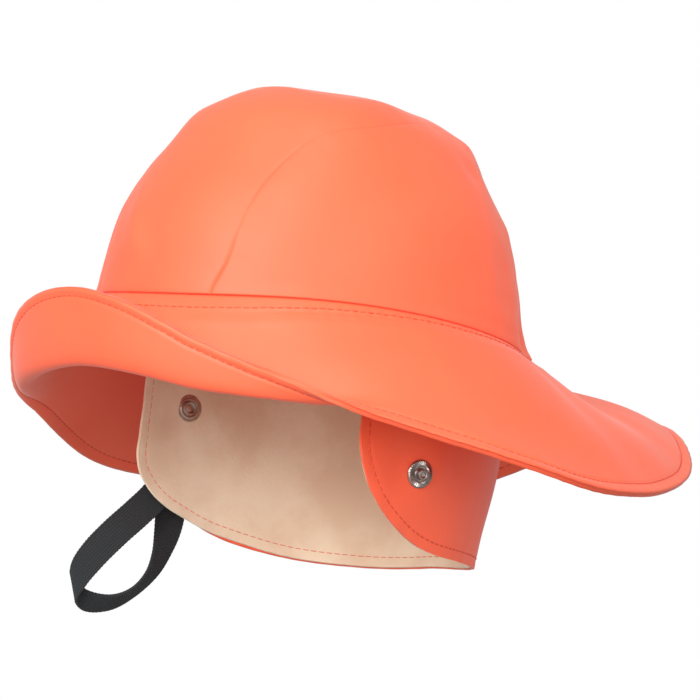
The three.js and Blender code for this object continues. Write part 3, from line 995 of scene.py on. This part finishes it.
# %% [markdown]
# Now each ply is made the same way: its solid's visible side is kept and subdivided, cut, pulled by
# the snaps, rippled by the hem, measured, and given its thickness. The lining stands out the other
# way, because its visible side is the inner one.

# %% Flap and lining
FLAP_CLOTH = 1.3 * MM
FLAP_STITCH = 4.6 * MM
FLAP_RIPPLE = 0.13 * MM
FLAP_RIPPLE_LENGTH = 15 * MM
FLAP_RIPPLE_REACH = 5 * MM
FLAP_WANDER = 2.2  # radians by which the spacing of the ripples wanders
FLAP_WANDER_SIZE = 30 * MM
FLAP_SLACK = 1.0 * MM
FLAP_SLACK_SIZE = 34 * MM
FLAP_SLACK_FROM, FLAP_SLACK_OVER = -5 * MM, 30 * MM  # the cloth gets slack below that height
THREAD_TOP = -9 * MM  # the stitches run on the free edges, below this height
THREAD_EASE = 4
LINING_THREAD_RADIUS = 0.22 * MM


def flap_push(points, loop, outwards):
    """How far the cloth stands out: ripples by the hem, slack, and the channel of the stitches."""
    hem = points[loop][points[loop][:, 2] < FLAP_TOP]
    to_edge, along = distances(points, hem, closed=False)
    wander = waves(points, FLAP_WANDER_SIZE, seed=21) * FLAP_WANDER
    ripple = ripples(along, FLAP_RIPPLE_LENGTH, wander)
    push = FLAP_RIPPLE * ripple * np.exp(-to_edge / FLAP_RIPPLE_REACH)
    slack = np.clip((FLAP_SLACK_FROM - points[:, 2]) / FLAP_SLACK_OVER, 0, 1)
    push += FLAP_SLACK * waves(points, FLAP_SLACK_SIZE, seed=22) * slack
    push *= 1 if outwards else -1
    return push - CHANNEL * bell(to_edge - FLAP_STITCH, CHANNEL_WIDTH)


def hanging(line, normals):
    """The one stretch of a closed line that hangs below the seam, in order."""
    below = line[:, 2] < THREAD_TOP
    first = int(np.argmax(~below & np.roll(below, -1))) + 1
    order = [k % len(below) for k in range(first, first + len(below)) if below[k % len(below)]]
    return line[order], normals[order]


def flap_sheet(name, node, start, outwards, cut):
    """One ply of the flap, its area, its size when cut, and the line of its stitches."""
    sheet = keep_side(upright_copy(name, node), start)
    apply(sheet, "SUBSURF", levels=3)
    loop = open_edges(sheet)[-1]
    normals, points = get_normals(sheet), recut(sheet, loop, cut)
    points[:, 0] += snap_pull(points)
    size = [cloth_width(points), cloth_height(points)]
    set_points(sheet, points + normals * flap_push(points, loop, outwards)[:, None])
    area = sum(face.area for face in sheet.data.polygons)
    line = hanging(*inset_line(sheet, loop, FLAP_STITCH))
    apply(sheet, "SOLIDIFY", thickness=FLAP_CLOTH, offset=-1)
    smooth(sheet, CLOTH_SMOOTH)
    print(name, len(sheet.data.polygons), f"faces, area {area:.4f} square metres")
    return sheet, area, size, line


flap, flap_area, flap_size, flap_line = flap_sheet(
    "flap_cloth", "ear_neck_flap", Vector((0, 110 * MM, -50 * MM)), True, CLOTH_CUT)
lining, lining_area, lining_size, lining_line = flap_sheet(
    "flap_flannel", "flap_lining", Vector((0, 80 * MM, -50 * MM)), False, FLANNEL_CUT)
for name, sheet, line, radius in (("flap_thread", flap, flap_line, STITCH_RADIUS),
                                  ("lining_thread", lining, lining_line, LINING_THREAD_RADIUS)):
    sewn = smoothed(landed(sheet, *line, FLAP_CLOTH, True), THREAD_EASE, closed=False)
    threads[name] = tilted(stitch_row(name, sewn, False, radius))
tilted(flap)
tilted(lining)

# %% [markdown]
# ## Snap fasteners
# The snap's two halves are small pressed brass caps with a dark nickel finish: a stud on the
# wearer's left and a socket on the right. They could be spun from a profile with the Screw modifier.
# Here each one starts as a disc and grows ring by ring, by extruding, lifting and scaling, so that
# its table reads like the turned form. The stud's flange is fluted, and a plain ring holds each from
# behind.

# %% Snap fasteners
SNAP_RADIUS = 6.25 * MM
SNAP_SIDES = 72
SNAP_SMOOTH = 28  # degrees
# Each row is a ring: its radius as a share of the snap's, and its height in mm.
STUD = [(1, 0), (1, 0.35), (0.97, 0.6), (0.9, 0.8), (0.66, 1.0), (0.56, 0.9), (0.52, 0.55), (0.44, 0.5),
        (0.4, 0.7), (0.38, 1.2), (0.36, 2.2), (0.38, 2.7), (0.35, 3.05), (0.28, 3.15), (0.2, 3.0),
        (0.17, 2.2), (0.12, 2.1)]
SOCKET = [(1, 0), (1, 0.4), (0.97, 0.62), (0.9, 0.72), (0.8, 0.7), (0.76, 0.95), (0.7, 1.15),
          (0.64, 1.1), (0.6, 0.8), (0.56, 0.75), (0.52, 1.0), (0.49, 1.6), (0.45, 1.85), (0.4, 1.85),
          (0.35, 1.6), (0.32, 0.9), (0.28, 0.6), (0.2, 0.75), (0.1, 0.85)]
RING = [(0.9, 0), (0.9, 0.35), (0.87, 0.6), (0.8, 0.8), (0.6, 0.85), (0.52, 0.7), (0.48, 0.3),
        (0.4, 0.25)]
FLUTE = 0.42 * MM
FLUTED_FROM, FLUTED_TO = 0.6, 0.93
FLUTED_ABOVE = 0.5 * MM


def turned(name, rings):
    """A disc that grows ring by ring into a turned piece."""
    obj = new_piece(name, bpy.ops.mesh.primitive_circle_add, vertices=SNAP_SIDES,
                    radius=rings[0][0] * SNAP_RADIUS, fill_type="NGON", location=(0, 0, 0))
    edit(obj)
    bpy.ops.mesh.select_all(action="SELECT")
    for (radius, height), (wider, lower) in zip(rings[1:], rings):
        bpy.ops.mesh.extrude_region_move(
            TRANSFORM_OT_translate={"value": (0, 0, (height - lower) * MM)})
        size = radius / wider
        bpy.ops.transform.resize(value=(size, size, 1), center_override=(0, 0, 0))
    bpy.ops.mesh.select_all(action="SELECT")
    bpy.ops.mesh.normals_make_consistent(inside=False)
    return leave(obj)


def fluted(obj):
    """Every other column of the flange is lifted."""
    points = get_points(obj)
    radius = np.hypot(points[:, 0], points[:, 1]) / SNAP_RADIUS
    column = np.round(np.degrees(np.arctan2(points[:, 1], points[:, 0])) / (360 / SNAP_SIDES))
    lifted = (radius > FLUTED_FROM) & (radius < FLUTED_TO) & (points[:, 2] > FLUTED_ABOVE)
    points[:, 2] += FLUTE * np.where(lifted & (column % 2 == 0), 1, 0)
    set_points(obj, points)


snaps = {}
for node, rings in (("snap_stud", STUD), ("snap_stud_back_ring", RING),
                    ("snap_socket", SOCKET), ("snap_socket_back_ring", RING)):
    snap = turned(node + "_turned", rings)
    if node == "snap_stud":
        fluted(snap)
    place, axis = seat_of(node)
    axis = Matrix.Rotation(-SNAP_TURN, 3, "Z") @ axis
    snap.data.transform(Matrix.Translation(place) @ axis.to_track_quat("Z", "X").to_matrix().to_4x4())
    smooth(snap, SNAP_SMOOTH)
    snaps[node] = snap
    print(snap.name, np.round(np.array(place) / MM, 1), "mm")

# %% [markdown]
# ## The elastic loop
# A loop of woven elastic is sewn to the front corner of the flap, both of its ends one on the other.
# A Curve modifier could bend a flat ribbon along a path. This ribbon twists as it goes, though, so
# its route says at each place where its middle is and which way its width points. The table repeats
# the solid's route: along the picture, up, out towards the camera (mm), and the width's direction.

# %% The route of the elastic
LOOP_ROUTE = [
    (-63.8, -57, -51.3, -0.7, 0.35, 0.63),
    (-65.8, -64, -50.1, -0.7, 0.4, 0.6),
    (-72, -75, -49, -0.7, 0.65, 0.25),
    (-81, -84, -47, -0.68, 0.72, 0.1),
    (-90, -92, -45, -0.64, 0.76, 0.1),
    (-100, -102, -45, -0.55, 0.83, 0.1),
    (-107, -111, -47, -0.38, 0.92, 0.1),
    (-109.6, -118, -52, -0.15, 0.96, 0.2),
    (-104.3, -124, -58, 0, 0.75, 0.66),
    (-93.2, -125, -62, 0, 0.5, 0.87),
    (-83.2, -120.5, -63, -0.1, 0.25, 0.96),
    (-74.6, -112, -63, -0.35, 0.1, 0.93),
    (-69.8, -102, -63, -0.6, 0.05, 0.8),
    (-67.2, -92, -63, -0.85, 0, 0.5),
    (-65.8, -80, -61.5, -1, 0, 0.2),
    (-65.2, -71, -57.5, -0.85, 0, 0.52),
    (-64.2, -64, -54.4, -0.76, 0, 0.65),
    (-64.2, -57, -53.7, -0.74, 0, 0.67),
]
ROUTE_PLACES = 1200


def between(low, high, a, b, u):
    """The value at u on the straight line from a at low to b at high."""
    return ((high - u) * a + (u - low) * b) / (high - low)


def smooth_route(rows, count):
    """A centripetal Catmull-Rom curve through rows, as count evenly numbered places."""
    rows = np.vstack([2 * rows[0] - rows[1], rows, 2 * rows[-1] - rows[-2]])
    out = []
    for t in np.linspace(0, len(rows) - 3 - 1e-9, count):
        k = int(t)
        p = rows[k:k + 4]
        steps = np.maximum(np.linalg.norm(np.diff(p, axis=0), axis=1), 1e-9)
        knots = np.concatenate([[0], np.cumsum(steps ** 0.5)])
        u = knots[1] + (t - k) * (knots[2] - knots[1])
        a = [between(knots[i], knots[i + 1], p[i], p[i + 1], u) for i in range(3)]
        b = [between(knots[i], knots[i + 2], a[i], a[i + 1], u) for i in range(2)]
        out.append(between(knots[1], knots[2], b[0], b[1], u))
    return np.array(out)


table = np.array(LOOP_ROUTE)
route = smooth_route(table[:, :3] * MM, ROUTE_PLACES)
widths = smooth_route(table[:, 3:], ROUTE_PLACES)
walked = np.concatenate([[0], np.cumsum(np.linalg.norm(np.diff(route, axis=0), axis=1))])
loop_length = walked[-1]
print(f"the route is {loop_length / MM:.0f} mm long")

# %% [markdown]
# The ribbon is a flat grid with thickness. Its picture coordinates are stored while it is flat, for
# the weave of its finish. Then its ribs rise, its selvedges are thinner and slightly scalloped by the
# weft, and at last each point is carried to its place on the route.

# %% The ribbon, woven flat and bent
LOOP_WIDTH = 14 * MM
LOOP_CLOTH = 1.3 * MM
LOOP_COLUMNS = 260
LOOP_RIBS = 11
ROWS_IN_RIB = 4
RIB = 0.13 * MM
PICK = 0.9 * MM  # from one weft thread to the next
SELVEDGE, SELVEDGE_THINNED = 0.47, 0.72  # from this share of the width on it is this much as thick
SCALLOPED, SCALLOP = 0.45, 0.018

elastic = new_piece(
    "elastic_loop_ribbon", bpy.ops.mesh.primitive_grid_add,
    x_subdivisions=LOOP_COLUMNS, y_subdivisions=ROWS_IN_RIB * LOOP_RIBS, size=1,
    location=(loop_length / 2, 0, 0))
elastic.scale = (loop_length, LOOP_WIDTH, 1)
bpy.ops.object.transform_apply()
apply(elastic, "SOLIDIFY", thickness=LOOP_CLOTH, offset=0)
flat = get_points(elastic)
uv = elastic.data.uv_layers.active or elastic.data.uv_layers.new(name="ribbon")
for corner in elastic.data.loops:
    place = flat[corner.vertex_index]
    uv.data[corner.index].uv = (place[0] / LOOP_WIDTH, place[1] / LOOP_WIDTH + 0.5)

points = flat.copy()
across = flat[:, 1] / LOOP_WIDTH
points[:, 2] -= np.sign(flat[:, 2]) * RIB * np.cos(2 * math.pi * (across + 0.5) * LOOP_RIBS)
points[:, 2] *= np.where(np.abs(across) > SELVEDGE, SELVEDGE_THINNED, 1)
scallop = 1 + SCALLOP * np.cos(2 * math.pi * flat[:, 0] / (2 * PICK))
points[:, 1] *= np.where(np.abs(across) > SCALLOPED, scallop, 1)

step = np.clip(np.searchsorted(walked, points[:, 0]), 1, ROUTE_PLACES - 1)
part = ((points[:, 0] - walked[step - 1]) / (walked[step] - walked[step - 1]))[:, None]
center = route[step - 1] * (1 - part) + route[step] * part
width = widths[step - 1] * (1 - part) + widths[step] * part
width /= np.linalg.norm(width, axis=1)[:, None]
face = np.cross(width, np.gradient(route, axis=0)[step])
face /= np.linalg.norm(face, axis=1)[:, None]
bent = center + width * points[:, 1:2] + face * points[:, 2:3]
set_points(elastic, bent @ np.array([to_right, (0, 0, 1), to_camera]))
smooth(elastic, CLOTH_SMOOTH)
print(f"elastic ribbon {loop_length / MM:.0f} mm long,", len(elastic.data.polygons), "faces")

# %% [markdown]
# ## Finishes
# Each finish is built from nodes. Two effects are used by more than one of them, so they are node
# groups: a fine relief for the surface of a cloth, and a soft drift of tone that keeps a large plain
# area from looking printed. The shader itself stays in each material.

# %% Node helpers
def new_material(name, **sockets):
    """A material with a Principled shader and the given sockets set."""
    material = bpy.data.materials.new(name)
    material.use_nodes = True
    shader = material.node_tree.nodes["Principled BSDF"]
    fill(shader, **sockets)
    return material, material.node_tree, shader


def fill(node, **sockets):
    """Sets a node's inputs; an underscore in a key stands for a space."""
    for key, value in sockets.items():
        node.inputs[key.replace("_", " ")].default_value = value
    return node


def add(tree, kind, **settings):
    """A new node with its properties set."""
    node = tree.nodes.new(kind)
    for key, value in settings.items():
        if key in node.inputs:
            node.inputs[key].default_value = value
        else:
            setattr(node, key, value)
    return node


def ramp(tree, low=0, high=1, start=0, end=1, kind="LINEAR"):
    """A node that goes from low to high while its value goes from start to end."""
    node = add(tree, "ShaderNodeMapRange", interpolation_type=kind)
    return fill(node, From_Min=start, From_Max=end, To_Min=low, To_Max=high)


def wire(tree, *links):
    """Joins sockets; each link is a node, its output, another node and its input."""
    for source, output, target, into in links:
        tree.links.new(source.outputs[output], target.inputs[into])


def new_group(name, inputs, outputs):
    """An empty shader node group with named sockets."""
    group = bpy.data.node_groups.new(name, "ShaderNodeTree")
    for key, kind, value in inputs:
        socket = group.interface.new_socket(key, in_out="INPUT", socket_type="NodeSocket" + kind)
        if value is not None:
            socket.default_value = value
    for key, kind in outputs:
        group.interface.new_socket(key, in_out="OUTPUT", socket_type="NodeSocket" + kind)
    return group, group.nodes.new("NodeGroupInput"), group.nodes.new("NodeGroupOutput")


def use_group(tree, group, **sockets):
    """A node that stands for a whole group, with the given sockets set."""
    node = tree.nodes.new("ShaderNodeGroup")
    node.node_tree = group
    return fill(node, **sockets)


print("node helpers ready")

# %% [markdown]
# The relief adds a fine grain to a wider crease, each with its own size and strength. The drift
# blends two tones by soft patches, and hands on its mask, so that the sheen can follow the tone.

# %% Shared relief and tone
relief, gin, gout = new_group(
    "surface_relief",
    [("Place", "Vector", None), ("Grain per metre", "Float", 1500.0), ("Grain", "Float", 0.5),
     ("Crease per metre", "Float", 60.0), ("Crease", "Float", 0.3)],
    [("Height", "Float")])
grain = add(relief, "ShaderNodeTexNoise", Detail=3.0, Roughness=0.6)
crease = add(relief, "ShaderNodeTexNoise", Detail=2.0, Roughness=0.5)
grain_part, crease_part = [add(relief, "ShaderNodeMath", operation="MULTIPLY") for _ in range(2)]
total = add(relief, "ShaderNodeMath", operation="ADD")
wire(relief,
     (gin, "Place", grain, "Vector"), (gin, "Place", crease, "Vector"),
     (gin, "Grain per metre", grain, "Scale"), (gin, "Crease per metre", crease, "Scale"),
     (grain, "Fac", grain_part, 0), (gin, "Grain", grain_part, 1),
     (crease, "Fac", crease_part, 0), (gin, "Crease", crease_part, 1),
     (grain_part, 0, total, 0), (crease_part, 0, total, 1), (total, 0, gout, "Height"))

tone, gin, gout = new_group(
    "tone_drift",
    [("Place", "Vector", None), ("Color", "Color", (1, 1, 1, 1)), ("Other", "Color", (1, 1, 1, 1)),
     ("Patches per metre", "Float", 12.0), ("Amount", "Float", 0.5)],
    [("Color", "Color"), ("Mask", "Float")])
patches = add(tone, "ShaderNodeTexNoise", Detail=4.0, Roughness=0.55)
spread = ramp(tone, start=0.35, end=0.65, kind="SMOOTHSTEP")
amount = add(tone, "ShaderNodeMath", operation="MULTIPLY")
blend = add(tone, "ShaderNodeMix", data_type="RGBA")
wire(tone,
     (gin, "Place", patches, "Vector"), (gin, "Patches per metre", patches, "Scale"),
     (patches, "Fac", spread, "Value"), (spread, "Result", amount, 0), (gin, "Amount", amount, 1),
     (amount, 0, blend, "Factor"), (gin, "Color", blend, "A"), (gin, "Other", blend, "B"),
     (blend, "Result", gout, "Color"), (spread, "Result", gout, "Mask"))
print("groups:", relief.name, tone.name)

# %% [markdown]
# The coated cloth is smooth and satin, not glossy: a soft highlight, a pale sheen where it turns
# away, and a very fine grain. The flannel is brushed, so it is matt with a soft nap. The elastic is
# matt black with its weave, and the snaps are dark nickel. All but the elastic are made by one
# function, because they differ only in their numbers.

# %% Cloth, thread and metal
CORAL = (0.97, 0.132, 0.053, 1)
CORAL_DEEP = (0.95, 0.118, 0.044, 1)
CREAM = (0.94, 0.77, 0.56, 1)
CREAM_DEEP = (0.80, 0.57, 0.38, 1)
# The thread is the cloth's coral, painted darker as painted shade where stitches sink in.
SHADED_THREAD = (0.62, 0.06, 0.02, 1)
THREAD_LIT = (0.80, 0.24, 0.14, 1)
NICKEL = (0.46, 0.43, 0.40, 1)
NICKEL_DARK = (0.24, 0.21, 0.19, 1)
BRONZE = (0.60, 0.51, 0.43, 1)
BRONZE_DARK = (0.34, 0.27, 0.22, 1)


# patches, grain and crease are how many there are in a metre and how strong they are, bump is the
# strength and the depth of the relief, and rough is the roughness of each tone.
def two_tone(name, colors, patches, grain, crease, bump, rough, **sockets):
    """A finish in two tones, with a relief and a roughness that follows the tone."""
    material, tree, shader = new_material(name, **sockets)
    place = add(tree, "ShaderNodeTexCoord")
    drift = use_group(tree, tone, Color=colors[0], Other=colors[1], Patches_per_metre=patches[0],
                      Amount=patches[1])
    height = use_group(tree, relief, Grain_per_metre=grain[0], Grain=grain[1],
                       Crease_per_metre=crease[0], Crease=crease[1])
    normal = add(tree, "ShaderNodeBump", Strength=bump[0], Distance=bump[1])
    gloss = ramp(tree, *rough)
    wire(tree,
         (place, "Object", drift, "Place"), (place, "Object", height, "Place"),
         (drift, "Color", shader, "Base Color"), (drift, "Mask", gloss, "Value"),
         (gloss, "Result", shader, "Roughness"), (height, "Height", normal, "Height"),
         (normal, "Normal", shader, "Normal"))
    return material


CLOTH_DEPTH, METAL_DEPTH = 0.3 * MM, 0.1 * MM
coated_cloth = two_tone(
    "coated_cloth", (CORAL, CORAL_DEEP), patches=(14, 0.8), grain=(2600, 0.25), crease=(70, 0.35),
    bump=(0.5, CLOTH_DEPTH), rough=(0.5, 0.58), Sheen_Weight=0.16, Sheen_Roughness=0.35)
flannel = two_tone(
    "flannel", (CREAM, CREAM_DEEP), patches=(34, 0.7), grain=(1500, 0.9), crease=(70, 0.5),
    bump=(0.5, CLOTH_DEPTH), rough=(0.9, 0.98), Sheen_Weight=0.25, Sheen_Roughness=0.6)
yarn = dict(patches=(400, 0.4), grain=(3000, 0.8), crease=(70, 0.2), bump=(0.6, CLOTH_DEPTH))
# The thread's dark tone is painted shade of its stitch holes.
thread_finish = two_tone("thread", (SHADED_THREAD, CORAL_DEEP), rough=(0.5, 0.6), **yarn)
pale_thread_finish = two_tone("pale_thread", (THREAD_LIT, CORAL), rough=(0.6, 0.7), **yarn)
plated = dict(patches=(260, 0.6), grain=(5000, 0.3), crease=(900, 0.2), bump=(0.12, METAL_DEPTH),
              Metallic=1)
bright_nickel = two_tone("snap_metal_stud", (NICKEL, NICKEL_DARK), rough=(0.3, 0.4), **plated)
bronzed_nickel = two_tone("snap_metal_socket", (BRONZE, BRONZE_DARK), rough=(0.38, 0.48), **plated)
print("coated cloth, flannel, two threads and two metals")

# %% [markdown]
# The weft of the elastic runs across the ribbon and must follow its bends. So its bars are drawn in
# the ribbon's own picture coordinates, which were stored while it lay flat.

# %% Elastic
BLACK = (0.010, 0.0115, 0.013, 1)
BLACK_LIT = (0.022, 0.024, 0.026, 1)

elastic_finish, tree, shader = new_material("elastic", Roughness=0.82, Sheen_Weight=0.08)
place = add(tree, "ShaderNodeUVMap", uv_map=uv.name)
bars = add(tree, "ShaderNodeTexWave", wave_type="BANDS", bands_direction="X", Scale=5.2,
           Distortion=0.6)
shades = fill(add(tree, "ShaderNodeMix", data_type="RGBA"), A=BLACK, B=BLACK_LIT)
normal = add(tree, "ShaderNodeBump", Strength=0.5, Distance=0.25 * MM)
wire(tree,
     (place, "UV", bars, "Vector"), (bars, "Fac", shades, "Factor"), (bars, "Fac", normal, "Height"),
     (shades, "Result", shader, "Base Color"), (normal, "Normal", shader, "Normal"))
print("finish:", elastic_finish.name)

# %% [markdown]
# ## Who stands for what
# Each new piece gets its finish, rides on the one body of the hat, and hides the solid whose place
# it takes. The two plies of the flap are sheets of cloth, so the size that each was cut to is
# printed.

# %% Dress the hat
def dress(obj, finish, slot, *stands_for):
    obj.data.materials.clear()
    obj.data.materials.append(finish)
    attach(obj, "root")
    if stands_for:
        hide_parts(*stands_for)


for key, panel in crown_pieces.items():
    dress(panel, coated_cloth, "coated_cloth", "crown_" + key)
dress(brim, coated_cloth, "coated_cloth", "brim")
dress(flap, coated_cloth, "coated_cloth", "ear_neck_flap")
dress(lining, flannel, "flannel", "flap_lining")
dress(elastic, elastic_finish, "elastic", "elastic_loop")
for node, snap in snaps.items():
    dress(snap, bright_nickel if "stud" in node else bronzed_nickel, "snap_metal", node)
for name, thread in threads.items():
    dress(thread, pale_thread_finish if name == "lining_thread" else thread_finish, "coated_cloth")
for sheet, size, area, thread in ((flap, flap_size, flap_area, "flap_thread"),
                                  (lining, lining_size, lining_area, "lining_thread")):
    print(sheet.name, f"cut from {size[0] / MM:.0f} x {size[1] / MM:.0f} mm")

# %% [markdown]
# ## Floor and light
# The hat is held up as if worn, so the floor lies well below it. To the camera the floor looks white
# and runs into the background, but it sends back less light than a white one, so the hat's underside
# stays deep.

# %% Floor
FLOOR_HEIGHT = -0.32
FLOOR_RADIUS = 30
FLOOR_SIDES = 96
FLOOR_BOUNCE, FLOOR_SEEN = 0.36, 0.8  # how much light it sends back to the hat, and to the camera
FLOOR_GLOW = 0.64
FLOOR_FADES = 0.4, 1.1  # between these distances from the middle it fades into the background

floor = new_piece("floor", bpy.ops.mesh.primitive_circle_add, vertices=FLOOR_SIDES,
                  radius=FLOOR_RADIUS, fill_type="NGON", location=(0, 0, FLOOR_HEIGHT))
floor_finish, tree, shader = new_material("pale_floor", Roughness=0.9)
seen = add(tree, "ShaderNodeLightPath")
paleness, glow = ramp(tree, FLOOR_BOUNCE, FLOOR_SEEN), ramp(tree, FLOOR_GLOW, 1)
place = add(tree, "ShaderNodeTexCoord")
reach = add(tree, "ShaderNodeVectorMath", operation="LENGTH")
fade = ramp(tree, start=FLOOR_FADES[0], end=FLOOR_FADES[1], kind="SMOOTHSTEP")
bright = add(tree, "ShaderNodeEmission")
mixed = add(tree, "ShaderNodeMixShader")
wire(tree,
     (seen, "Is Camera Ray", paleness, "Value"), (seen, "Is Camera Ray", glow, "Value"),
     (paleness, "Result", shader, "Base Color"), (glow, "Result", bright, "Strength"),
     (place, "Object", reach, 0), (reach, "Value", fade, "Value"), (fade, "Result", mixed, "Fac"),
     (shader, "BSDF", mixed, 1), (bright, "Emission", mixed, 2),
     (mixed, "Shader", tree.nodes["Material Output"], "Surface"))
floor.data.materials.append(floor_finish)
print(f"the floor lies {-FLOOR_HEIGHT} m below the head opening")

# %% [markdown]
# The light is a large soft key on the left of the camera, a weaker one in front, a fill on the right
# and one from above. The world is white to the camera and dimmer to the hat, so the shadows hold.

# %% World and lights
AMBIENT = 0.5
# Each light: how far along the picture, up and towards the camera it stands, its size and its power.
LIGHTS = [
    dict(name="key", across=-1.0, up=0.9, out=1.9, size=1.4, watts=48),
    dict(name="front", across=0.0, up=0.25, out=2.6, size=1.0, watts=14),
    dict(name="fill", across=1.4, up=0.4, out=1.5, size=1.2, watts=9),
    dict(name="above", across=0.0, up=1.8, out=1.3, size=1.6, watts=22),
]

world = bpy.data.worlds.new("studio")
bpy.context.scene.world = world
world.use_nodes = True
tree = world.node_tree
seen, level = add(tree, "ShaderNodeLightPath"), ramp(tree, AMBIENT, 1)
background = fill(tree.nodes["Background"], Color=(1, 1, 1, 1))
wire(tree, (seen, "Is Camera Ray", level, "Value"), (level, "Result", background, "Strength"))
for row in LIGHTS:
    light = bpy.data.objects.new(row["name"], bpy.data.lights.new(row["name"], "AREA"))
    light.data.shape = "DISK"
    light.data.size = row["size"]
    light.data.energy = row["watts"]
    light.location = to_right * row["across"] + to_camera * row["out"] + Vector((0, 0, row["up"]))
    light.rotation_euler = (-light.location).to_track_quat("-Z", "Y").to_euler()
    bpy.context.scene.collection.objects.link(light)
bpy.context.scene.view_settings.view_transform = "Standard"
print(len(LIGHTS), "lights")
